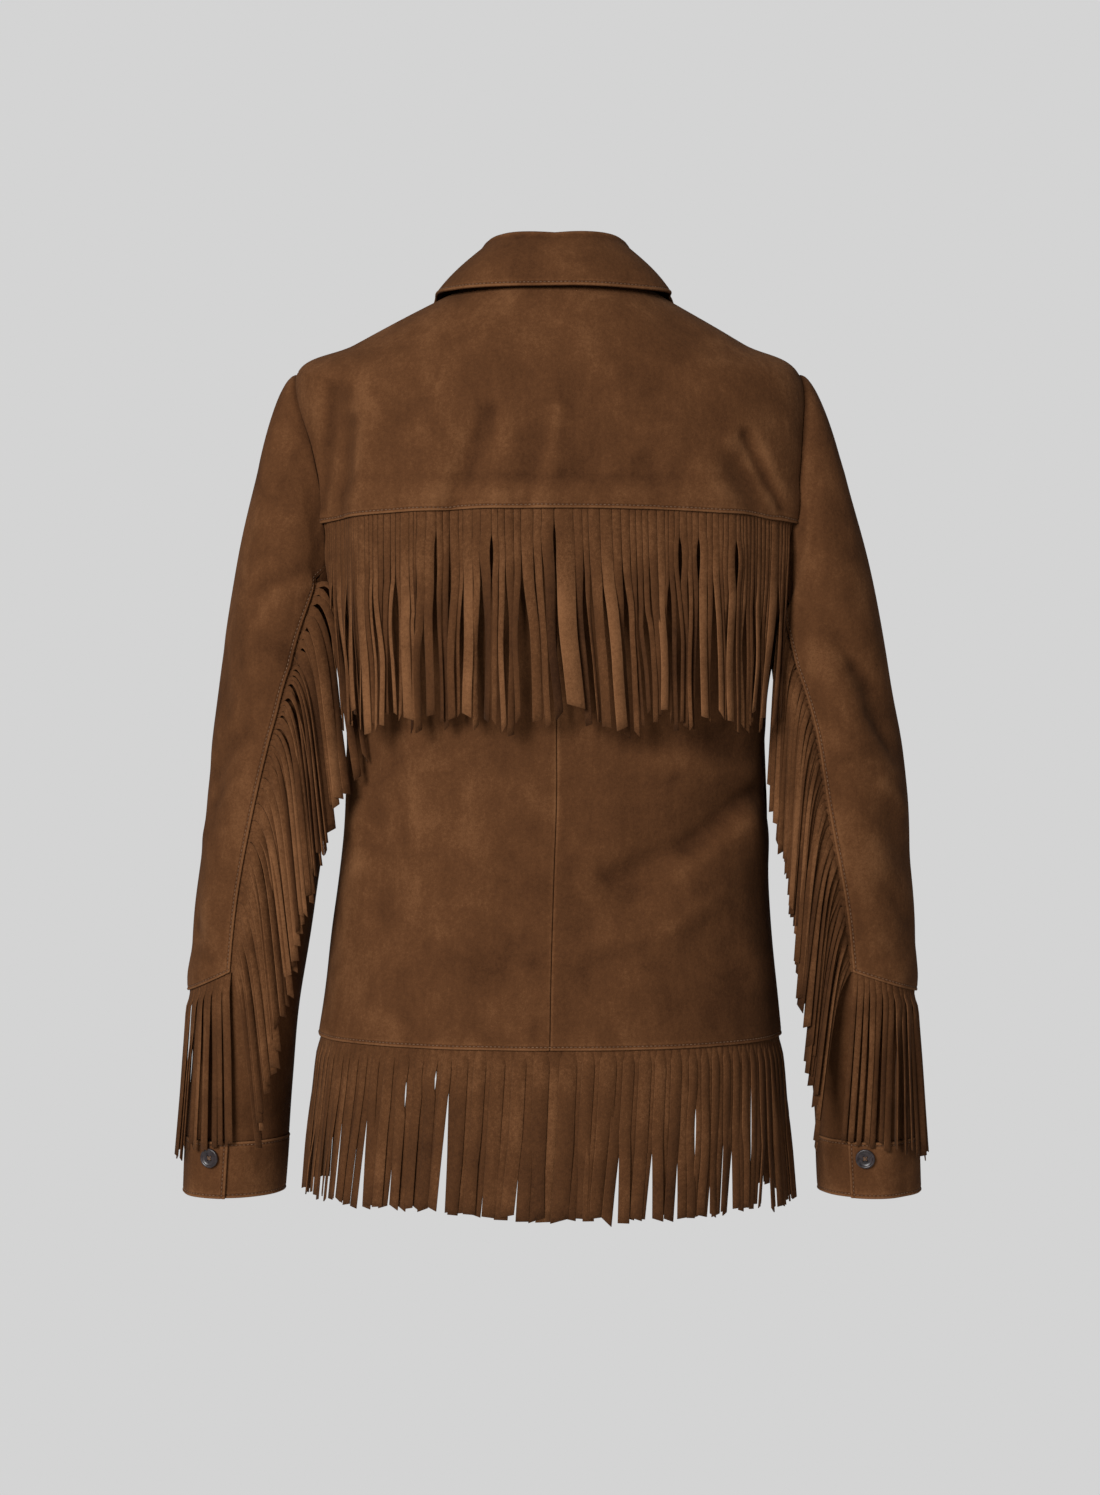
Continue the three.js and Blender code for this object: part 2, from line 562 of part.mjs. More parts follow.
// The sleeve's outer panel, lapped over the under panel at the hind seam and ending above the cuff
const hindTurn = (side, at) => along(HIND_SEAM, side, at);
function crossRow(side, turn) {
  const atHind = Math.cos(hindTurn(side, CROSS_SEAM.hind) * DEG);
  const f = turn < 0 ? 1 : clamp((Math.cos(turn * DEG) - atHind) / (1 - atHind), 0, 1);
  return lerp(CROSS_SEAM.hind, CROSS_SEAM.outer, f);
}
const CROSS_LAP = 0.13; // rows of lap at the cross seam
const LAP_TURN = 11; // degrees of lap at the hind seam, once it is clear of the armhole
const lapTurn = (at) => LAP_TURN * smooth((at / CROSS_SEAM.hind - 0.05) / 0.04);
const OUTER_COLUMNS = [0, 0.1, 0.2, 0.3, 0.4, 0.5, 0.6, 0.7, 0.78, 0.86, 0.94, 1];
const OUTER_ROWS = [
  0, 0.012, 0.026, 0.05, 0.09, 0.135, 0.19, 0.25, 0.32, 0.38, 0.45, 0.53, 0.62, 0.71, 0.8, 0.9, 0.975, 1,
];
const UNDER_COLUMNS = [0, 0.06, 0.14, 0.26, 0.38, 0.5, 0.62, 0.74, 0.87, 1];
const LOWER_ROWS = [5.3, 6.1, CUFF_TOP];

const outerSurface = (side) => (u, v) => {
  const turn = lerp(FORE_SEAM, hindTurn(side, v * CROSS_SEAM.hind), u);
  return sleeve(side, turn, v * crossRow(side, turn));
};
function sleeveOuter(side) {
  const hindRise = (u, v) => smooth((u - 0.7) / 0.24) * smooth((v - 0.022) / 0.028);
  const lift = (u, v) => RAISE * Math.max(hindRise(u, v), smooth((v - 0.9) / 0.075));
  return wall({ us: OUTER_COLUMNS, vs: OUTER_ROWS, surface: outerSurface(side), lift });
}
function sleeveUnder(side) {
  const surface = (u, at) => sleeve(side, lerp(hindTurn(side, at) - lapTurn(at), 360 + FORE_SEAM, u), at);
  const vs = [...OUTER_ROWS.map((v) => v * CROSS_SEAM.hind), ...LOWER_ROWS];
  return wall({ us: UNDER_COLUMNS, vs, surface });
}
function sleeveLower(side) {
  const surface = (u, v) => {
    const at = (turn) => lerp(crossRow(side, turn) - CROSS_LAP, CUFF_TOP, v);
    const near = lerp(FORE_SEAM, hindTurn(side, CROSS_SEAM.hind) - LAP_TURN, u);
    const turn = lerp(FORE_SEAM, hindTurn(side, at(near)) - LAP_TURN, u);
    return sleeve(side, turn, at(turn));
  };
  const start = crossRow(side, hindTurn(side, CROSS_SEAM.hind) - LAP_TURN) - CROSS_LAP;
  const vs = [start, ...LOWER_ROWS].map((at) => (at - start) / (CUFF_TOP - start));
  return wall({ us: evenly(11), vs, surface, lift: (u, v) => (v ? 0 : -LAYER_GAP) });
}

// The cuff: a band whose upper end laps over its lower end
const CUFF_UNDERLAP = 32; // degrees
const CUFF_STAND = 0.6; // how far it stands out from the sleeve
const CUFF_BUTTON = 18; // degrees from the lap's edge to the button
function cuff(side) {
  const turns = 360 + CUFF_UNDERLAP;
  const surface = (u, v) => sleeve(side, CUFF_LAP[side] - u * turns, lerp(CUFF_TOP, CUFF_END, v));
  const over = (u) => 1 - smooth((u * turns - CUFF_UNDERLAP - 6) / 30);
  const lift = (u) => CUFF_STAND + (CUFF_SUEDE + LAYER_GAP) * over(u);
  return wall({ us: evenly(26), vs: [0, 0.5, 1], surface, lift, thick: CUFF_SUEDE });
}

function sleeveFringe(side) {
  const { hind, cross, long, slit, start } = SLEEVE_FRINGE;
  const sign = signOf(side);
  const surface = faceted(OUTER_COLUMNS, OUTER_ROWS, outerSurface(side));
  // The outer panel's edge, down the hind seam and round to the fore seam, as [u, v, share down]
  const track = (f) =>
    (f < hind ? [1, lerp(start, 1, f / hind), 0] : [lerp(1, 0.03, (f - hind) / cross), 1, 1]);
  const place = (i, drop) => {
    const [u, v, down] = track(i);
    const reach = (du, dv) => surface(u, v).p.distanceTo(surface(u - du, v - dv).p);
    const turnDown = i === hind ? 0.7 : down;
    const turnIn = i === hind ? 0.7 : 1 - down;
    const { p, n } = surface(
      u + (drop * turnIn * 0.03) / reach(0.03, 0),
      v + (drop * turnDown * 0.015) / reach(0, 0.015),
    );
    const turn = lerp(FORE_SEAM, hindTurn(side, v * CROSS_SEAM.hind), u);
    return { p: p.addScaledVector(n, SLEEVE_STRIP_GAP), n, turn };
  };
  const line = (drop) => Array.from({ length: hind + cross + 1 }, (_, i) => place(i, drop));
  const root = line(slit);
  const stations = [0.09, 0.3, 1];
  return fringe(line(slit - STRIP + 2), root, (i) => {
    const [left, right] = [root[i], root[i + 1]];
    if (i < hind) {
      const hang = (key) => along(HIND_HANG[side], key, (i / hind) * (HIND_HANG[side].length - 1));
      return hangingStrand({
        left, right,
        long: long + wave(i, [3, 0.7, 0], [2, 1.6, 1]),
        bow: V(-sign * hang("bow"), -9, 0),
        drift: V(-sign * hang("lean"), 2, 0),
        twist: V(sign * Math.cos(STRAND_TILT * DEG), -Math.sin(STRAND_TILT * DEG), 0),
        stations,
      });
    }
    const turn = (left.turn + right.turn) / 2;
    const n = left.n.clone().setZ(0).normalize();
    const swing = CROSS_SWING[side] * clamp(turn / hindTurn(side, CROSS_SEAM.hind), 0, 1);
    const below = sleevePoint(side, turn + swing, CUFF_END);
    below.sub(sleevePoint(side, turn, crossRow(side, turn)));
    return hangingStrand({
      left, right,
      long: long - 12 + wave(i, [2, 0.7, 0], [2, 1.6, 1]),
      bow: n.clone().multiplyScalar(1 + 0.09 * swing),
      drift: below.setZ(0).addScaledVector(n, 1 + 2.5 * smooth((turn - 5) / 30)),
      twist: right.p.clone().sub(left.p).setZ(0).normalize(),
      stations,
    });
  });
}

// A sewn button: a dished disc that stands on its stitched face
function button(place, lift) {
  const [r, h] = [BUTTON_WIDE / 2, BUTTON_THICK];
  const profile = [[0, 0], [r * 0.8, 0], [r, h * 0.55], [r - 1, h], [r - 2.2, h * 0.65], [0, h * 0.6]];
  const geometry = new THREE.LatheGeometry(profile.map(([x, y]) => new THREE.Vector2(x, y)), 14);
  const mesh = new THREE.Mesh(geometry);
  mesh.position.copy(place.p).addScaledVector(place.n, lift + SEAM_GAP);
  mesh.quaternion.setFromUnitVectors(V(0, 1, 0), place.n);
  return mesh;
}

function finish(mesh, name, colour, roughness) {
  mesh.name = name;
  mesh.material = new THREE.MeshStandardMaterial({ color: COLOURS[colour], roughness, metalness: 0 });
  return mesh;
}
const sewn = (name, geometry, colour = "suede") => finish(new THREE.Mesh(geometry), name, colour, 0.95);

const jacket = new THREE.Group();
jacket.name = "suede_jacket";
jacket.add(sewn("yoke", yoke()), sewn("collar", collar()));
jacket.add(sewn("yoke_fringe", yokeFringe(), "fringe"), sewn("hem_fringe", hemFringe(), "fringe"));
for (const side of ["left", "right"]) {
  jacket.add(
    sewn(`back_${side}`, lowerBack(side)),
    sewn(`front_${side}`, frontPanel(side)),
    sewn(`sleeve_outer_${side}`, sleeveOuter(side)),
    sewn(`sleeve_under_${side}`, sleeveUnder(side)),
    sewn(`sleeve_lower_${side}`, sleeveLower(side)),
    sewn(`sleeve_fringe_${side}`, sleeveFringe(side), "fringe"),
    sewn(`cuff_${side}`, cuff(side)),
  );
  const place = sleeve(side, CUFF_LAP[side] - CUFF_BUTTON, CUFF_TOP + 0.28);
  const cuffButton = button(place, CUFF_STAND + CUFF_SUEDE + LAYER_GAP);
  jacket.add(finish(cuffButton, `cuff_button_${side}`, "button", 0.35));
}
const frontFacets = faceted(FRONT_COLUMNS, FRONT_ROWS, frontSurface("right"));
for (let k = 0; k < FRONT_BUTTONS; k++) {
  const at = lerp(0.6, HEM - 1.1, k / (FRONT_BUTTONS - 1));
  const centre = frontPast(at) / (90 + frontPast(at) - sideEdge(at, true));
  const mesh = button(frontFacets(centre, at), FRONT_RAISE + SEAM_GAP);
  jacket.add(finish(mesh, `front_button_${k + 1}`, "button", 0.35));
}

export default jacket;
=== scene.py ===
import math

import bpy
import numpy as np
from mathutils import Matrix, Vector


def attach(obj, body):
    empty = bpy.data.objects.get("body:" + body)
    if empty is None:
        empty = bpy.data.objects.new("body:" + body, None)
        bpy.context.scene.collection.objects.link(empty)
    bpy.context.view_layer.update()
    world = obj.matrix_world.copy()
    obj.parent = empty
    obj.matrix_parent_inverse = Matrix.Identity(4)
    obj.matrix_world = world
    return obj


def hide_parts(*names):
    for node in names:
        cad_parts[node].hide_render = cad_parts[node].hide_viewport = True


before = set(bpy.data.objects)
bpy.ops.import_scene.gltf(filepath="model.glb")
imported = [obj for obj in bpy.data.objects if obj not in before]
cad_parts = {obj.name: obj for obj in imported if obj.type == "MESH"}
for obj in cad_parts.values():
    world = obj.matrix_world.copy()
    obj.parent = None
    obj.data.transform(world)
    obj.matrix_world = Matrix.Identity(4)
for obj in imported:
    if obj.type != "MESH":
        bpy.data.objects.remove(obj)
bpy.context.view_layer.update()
rng = np.random.default_rng(27)

# The camera: level, straight behind the jacket at chest height, two metres off.
camera = bpy.data.objects.new("camera", bpy.data.cameras.new("camera"))
camera.location = (0, -2.0, -0.3615)
camera.rotation_euler = (math.radians(90), 0, 0)
camera.data.lens = 61.75
camera.data.sensor_width = 36
bpy.context.scene.collection.objects.link(camera)
bpy.context.scene.camera = camera

# The suede: split cowhide, brushed to a short nap. The nap lies in soft patches, so one hide shows
# darker and lighter clouds, and it is rubbed paler where a fold or an edge stands out. The colour also
# carries painted light: painted shade in creases, stitch grooves and plain seams and on the right of the
# lower back, and painted highlights on rolled edges and on the fringe strands that face the lamp.
def socket(group, name, kind, way, value=None):
    made = group.interface.new_socket(name=name, in_out=way, socket_type=kind)
    if value is not None:
        made.default_value = value
    return made


def nap_group():
    group = bpy.data.node_groups.new("brushed nap and painted light", "ShaderNodeTree")
    socket(group, "Shaded", "NodeSocketColor", "INPUT", (0.05, 0.025, 0.012, 1))
    socket(group, "Middle", "NodeSocketColor", "INPUT", (0.1, 0.05, 0.02, 1))
    socket(group, "Rubbed and lit", "NodeSocketColor", "INPUT", (0.2, 0.1, 0.05, 1))
    socket(group, "Cloud", "NodeSocketFloat", "INPUT", 1.0)
    socket(group, "Grain", "NodeSocketFloat", "INPUT", 1.0)
    socket(group, "Colour", "NodeSocketColor", "OUTPUT")
    socket(group, "Roughness", "NodeSocketFloat", "OUTPUT")
    socket(group, "Height", "NodeSocketFloat", "OUTPUT")
    nodes, links = group.nodes, group.links
    given = nodes.new("NodeGroupInput")
    out = nodes.new("NodeGroupOutput")
    place = nodes.new("ShaderNodeTexCoord")

    def noise(scale, detail, rough, stretch=None, distortion=0.0):
        node = nodes.new("ShaderNodeTexNoise")
        node.inputs["Scale"].default_value = scale
        node.inputs["Detail"].default_value = detail
        node.inputs["Roughness"].default_value = rough
        node.inputs["Distortion"].default_value = distortion
        source = place.outputs["Object"]
        if stretch:
            turn = nodes.new("ShaderNodeMapping")
            turn.inputs["Scale"].default_value = stretch
            turn.inputs["Rotation"].default_value = (0, 0.22, 0)
            links.new(source, turn.inputs["Vector"])
            source = turn.outputs["Vector"]
        links.new(source, node.inputs["Vector"])
        return node.outputs["Fac"]

    def maths(kind, a, b, clamped=False):
        node = nodes.new("ShaderNodeMath")
        node.operation = kind
        node.use_clamp = clamped
        for slot_, value in zip(node.inputs, (a, b)):
            if isinstance(value, (int, float)):
                slot_.default_value = value
            else:
                links.new(value, slot_)
        return node.outputs[0]

    def centred(value, size):
        return maths("MULTIPLY", maths("SUBTRACT", value, 0.5), size)

    worn = nodes.new("ShaderNodeAttribute")
    worn.attribute_name = "worn"
    tone = nodes.new("ShaderNodeAttribute")
    tone.attribute_name = "tone"
    cloud = maths("ADD", centred(noise(7, 3, 0.5), 0.75), centred(noise(28, 5, 0.62, distortion=0.6), 0.85))
    cloud = maths("ADD", cloud, centred(noise(1, 3, 0.6, (150, 150, 34)), 0.34))
    cloud = maths("MULTIPLY", cloud, given.outputs["Cloud"])
    fibre = noise(1500, 3, 0.7)
    grain = maths("ADD", centred(fibre, 0.8), centred(noise(420, 3, 0.6), 0.5))
    grain = maths("MULTIPLY", grain, given.outputs["Grain"])
    level = maths("ADD", cloud, grain)
    # The edge and bend mask holds rubbed wear together with painted shade and painted highlights, and the
    # per-point tone holds random tone together with painted shade and painted highlights
    level = maths("ADD", level, maths("MULTIPLY", worn.outputs["Fac"], 0.5))
    level = maths("ADD", level, maths("MULTIPLY", tone.outputs["Fac"], 0.5))
    level = maths("ADD", level, 0.5, clamped=True)
    mixes = []
    for low, high, start in (("Shaded", "Middle", 0.0), ("Middle", "Rubbed and lit", 0.5)):
        share = maths("MULTIPLY", maths("SUBTRACT", level, start), 2.0, clamped=True)
        mix = nodes.new("ShaderNodeMix")
        mix.data_type = "RGBA"
        links.new(share, mix.inputs["Factor"])
        links.new(mixes[-1] if mixes else given.outputs[low], mix.inputs["A"])
        links.new(given.outputs[high], mix.inputs["B"])
        mixes.append(mix.outputs["Result"])
    links.new(mixes[-1], out.inputs["Colour"])
    links.new(maths("ADD", centred(fibre, 0.2), 0.92, clamped=True), out.inputs["Roughness"])
    height = maths("ADD", maths("MULTIPLY", fibre, 0.5), maths("MULTIPLY", noise(330, 4, 0.6), 0.9))
    links.new(maths("ADD", height, maths("MULTIPLY", noise(90, 3, 0.5), 1.2)), out.inputs["Height"])
    return group


NAP = nap_group()


def suede(name, shaded, middle, rubbed_and_lit, cloud=1.0, grain=1.0, sheen=0.25):
    made = bpy.data.materials.new(name)
    made.use_nodes = True
    nodes, links = made.node_tree.nodes, made.node_tree.links
    shader = nodes["Principled BSDF"]
    nap = nodes.new("ShaderNodeGroup")
    nap.node_tree = NAP
    for key, value in (("Shaded", shaded), ("Middle", middle), ("Rubbed and lit", rubbed_and_lit)):
        nap.inputs[key].default_value = (*value, 1)
    nap.inputs["Cloud"].default_value = cloud
    nap.inputs["Grain"].default_value = grain
    bump = nodes.new("ShaderNodeBump")
    bump.inputs["Strength"].default_value = 0.55
    bump.inputs["Distance"].default_value = 0.0009
    links.new(nap.outputs["Colour"], shader.inputs["Base Color"])
    links.new(nap.outputs["Roughness"], shader.inputs["Roughness"])
    links.new(nap.outputs["Height"], bump.inputs["Height"])
    links.new(bump.outputs["Normal"], shader.inputs["Normal"])
    shader.inputs["Specular IOR Level"].default_value = 0.06
    shader.inputs["Sheen Weight"].default_value = sheen
    shader.inputs["Sheen Roughness"].default_value = 0.45
    shader.inputs["Sheen Tint"].default_value = (0.75, 0.5, 0.33, 1)
    return made


BROWN_SUEDE = suede(
    "brown suede", (0.05, 0.0195, 0.0076), (0.098, 0.0395, 0.0152), (0.185, 0.082, 0.034), sheen=0.04)

# The body's cut: thirteen rings from neck to hem, each a rounded square, with the folds that the
# cloth takes over the shoulder blades, beside the armholes and in the waist.
DEG = math.pi / 180
SUEDE = 1.5
FRINGE_SUEDE = 0.9
LAYER_GAP = 0.6
RAISE = FRINGE_SUEDE + 2 * LAYER_GAP + SUEDE
BODY = {
    "side": [-3, -26, -50, -70, -130, -192, -252, -305, -350, -400, -458, -525, -583],
    "back": [4, -26, -63, -105, -146, -185, -246, -302, -350, -400, -458, -524, -585],
    "front": [-74, -96, -122, -148, -178, -214, -256, -306, -350, -400, -458, -525, -584],
    "half": [64, 108.5, 153, 194, 197, 192, 177, 166, 163, 164, 167, 173.5, 180.5],
    "to_back": [60, 79, 94, 103, 107, 107, 103, 96, 91, 88, 93, 103, 112],
    "to_front": [66, 84, 99, 110, 119, 124, 120, 109, 101, 98, 101, 107, 112],
    "square": [2.1, 2.2, 2.3, 2.4, 2.4, 2.4, 2.35, 2.3, 2.3, 2.3, 2.3, 2.3, 2.3],
    "sway": [4, 2.5, 0.5, -1, 4, 5, 5, 5, 5, 5, 3, 1, 0],
}
TIP, YOKE, ARMPIT, HEM = 3, 5, 6, 12

# Folds as (x, z) to (x, z), how wide and how deep (minus sinks in): the large ones, then the finer
# creases between them
BACK_FOLDS = [
    ((-52, -138), (-71, -190), 17, -4.5), ((-32, -120), (-40, -188), 16, 3),
    ((6, -150), (-1, -190), 12, 2), ((-160, -100), (-166, -195), 15, -6),
    ((-136, -112), (-136, -188), 16, 3.5), ((141, -150), (172, -212), 13, -5),
    ((120, -160), (143, -205), 15, 2.5), ((150, -398), (58, -462), 20, -6),
    ((150, -432), (90, -488), 20, 3), ((-138, -345), (-126, -485), 14, -3.5),
    ((-46, -114), (-74, -184), 9, -2.8), ((6, -112), (-6, -184), 7, 1.8),
    ((-168, -92), (-176, -178), 6, -2.6), ((-150, -118), (-158, -188), 8, -2.6),
    ((148, -128), (175, -180), 5, -3.4), ((136, -134), (158, -186), 9, 1.5),
    ((30, -60), (52, -96), 14, 1.2), ((-70, -52), (-98, -88), 15, -1.4),
    ((84, -92), (120, -112), 14, -1.2), ((-20, -86), (14, -92), 16, -1.0),
    ((70, -150), (84, -184), 9, -1.3), ((158, -396), (104, -436), 8, -3.4),
    ((112, -432), (44, -458), 9, -2.4), ((130, -470), (88, -496), 8, 1.3),
    ((154, -416), (96, -456), 9, 1.8), ((62, -352), (150, -364), 15, -4.2),
    ((86, -372), (150, -384), 12, 1.4), ((60, -500), (20, -512), 12, 1.2),
    ((-120, -350), (-112, -430), 8, -1.3), ((-152, -372), (-146, -450), 8, 1.4),
    ((-96, -420), (-84, -500), 12, 1.1), ((-40, -380), (-34, -470), 14, -1.0),
    ((34, -360), (40, -430), 14, 1.0), ((-60, -540), (-50, -578), 10, -1.2),
    ((70, -536), (82, -580), 10, 1.2), ((-130, -520), (-120, -574), 11, 1.3),
    ((136, -510), (146, -566), 10, -1.3), ((2, -520), (-4, -578), 9, 0.9),
]
FRONT_FOLDS = [
    ((120, -235), (62, -330), 18, -4), ((-116, -240), (-55, -322), 17, -4),
    ((140, -390), (60, -430), 18, -5), ((-142, -400), (-70, -450), 20, -4),
    ((92, -500), (98, -580), 20, 3.5), ((132, -250), (88, -300), 7, -1.8),
    ((-128, -256), (-84, -300), 7, -1.8), ((60, -150), (90, -220), 14, 1.8),
    ((-58, -156), (-92, -222), 15, 1.8), ((128, -372), (70, -402), 9, 1.6),
    ((-130, -384), (-76, -424), 9, 1.6), ((-84, -500), (-92, -578), 14, 1.8),
    ((44, -470), (52, -560), 13, -1.6), ((-50, -480), (-46, -560), 13, -1.4),
    ((100, -340), (60, -370), 11, -1.4), ((-100, -342), (-58, -372), 11, -1.4),
]


def along(table, key, at):
    """A column of a table at fractional rows, on a smooth curve, run on straight past both ends."""
    column = np.array(table[key] if key else table, float)
    last = len(column) - 1
    at = np.asarray(at, float)
    longer = np.concatenate([[2 * column[0] - column[1]], column, [2 * column[-1] - column[-2]]])
    i = np.clip(np.floor(at).astype(int), 0, last - 1)
    f = at - i
    a, b, c, d = longer[i], longer[i + 1], longer[i + 2], longer[i + 3]
    curve = b + 0.5 * f * (c - a + f * (2 * a - 5 * b + 4 * c - d + f * (3 * (b - c) + d - a)))
    return np.where(at > last, column[-1] + (at - last) * (column[-1] - column[-2]), curve)


def folds_at(folds, x, z):
    push = np.zeros(np.shape(x))
    for (x0, z0), (x1, z1), wide, deep in folds:
        dx, dz = x1 - x0, z1 - z0
        f = np.clip(((x - x0) * dx + (z - z0) * dz) / (dx * dx + dz * dz), 0, 1)
        off2 = (x - x0 - f * dx) ** 2 + (z - z0 - f * dz) ** 2
        push = push + deep * np.exp(-off2 / wide**2)
    return push


# The hand of the cloth: it is never quite even
RIPPLES = [(*(rng.normal(size=3)), rng.uniform(0, 6.3), rng.uniform(26, 90)) for _ in range(14)]


def unevenness(p):
    push = np.zeros(p.shape[:-1])
    for a, b, c, start, pitch in RIPPLES:
        size = math.sqrt(a * a + b * b + c * c)
        wave = (p[..., 0] * a + p[..., 1] * b + p[..., 2] * c * 0.6) / size
        push += 0.0042 * pitch * np.sin(wave * 2 * math.pi / pitch + start)
    return push


def power(value, n):
    return np.sign(value) * np.abs(value) ** n


def body_point(turn, at):
    """A point of the body's outer face: degrees round (0 right side, 90 front, -90 back) and ring."""
    turn, at = np.broadcast_arrays(np.asarray(turn, float), np.asarray(at, float))
    c, n = np.cos(turn * DEG), np.sin(turn * DEG)
    bend = 2 / along(BODY, "square", at)
    half, side = along(BODY, "half", at), along(BODY, "side", at)
    behind = n < 0
    deep = np.where(behind, along(BODY, "to_back", at), along(BODY, "to_front", at))
    level = np.where(behind, along(BODY, "back", at), along(BODY, "front", at))
    across = half * power(c, bend)
    y = deep * power(n, bend)
    z = side + (level - side) * np.abs(n) ** 1.6
    p = np.stack([along(BODY, "sway", at) + across, y, z], -1)
    out = np.stack([across / half**2, y / deep**2, np.zeros_like(y)], -1)
    out /= np.linalg.norm(out, axis=-1, keepdims=True)
    push = np.where(behind, folds_at(BACK_FOLDS, p[..., 0], z), folds_at(FRONT_FOLDS, p[..., 0], z))
    return p + out * (push + unevenness(p))[..., None]


def placed(point, a, b, step_a, step_b, flip):
    """A surface's points and outward normals, from its point function, by small steps."""
    da = point(a + step_a, b) - point(a - step_a, b)
    db = point(a, b + step_b) - point(a, b - step_b)
    n = np.cross(db, da)
    return point(a, b), flip * n / np.linalg.norm(n, axis=-1, keepdims=True)


def body(turn, at):
    return placed(body_point, turn, at, 0.5, 0.02, 1)


def smooth(f):
    f = np.clip(f, 0, 1)
    return f * f * (3 - 2 * f)


# The rows of a panel's grid beside a plain seam and beside a turned edge, in mm from the edge
SEAM = [0.15, 0.5, 1.2, 2.4]
TURNED = [0.15, 0.45, 0.9, 1.5, 2.1, 2.7, 3.3, 4.1, 5.3, 7.2]
STITCH_LINE = 2.7
STITCHED = TURNED.index(STITCH_LINE)
RIM = 1.3


def dents(d, turned):
    """How far the outer face sinks at a distance from an edge: a rounded rim, a roll and a stitch groove."""
    rim = np.where(d < RIM, RIM - np.sqrt(np.clip(RIM**2 - (RIM - np.minimum(d, RIM)) ** 2, 0, None)), 0)
    sink = 0.6 * rim
    if turned:
        sink = sink - 0.3 * np.exp(-(((d - 1.4) / 0.9) ** 2))
        sink = sink + 0.5 * np.exp(-(((d - STITCH_LINE) / 0.7) ** 2))
    return sink


def neighbours(grid):
    return np.roll(grid, 1, 0) + np.roll(grid, -1, 0) + np.roll(grid, 1, 1) + np.roll(grid, -1, 1)


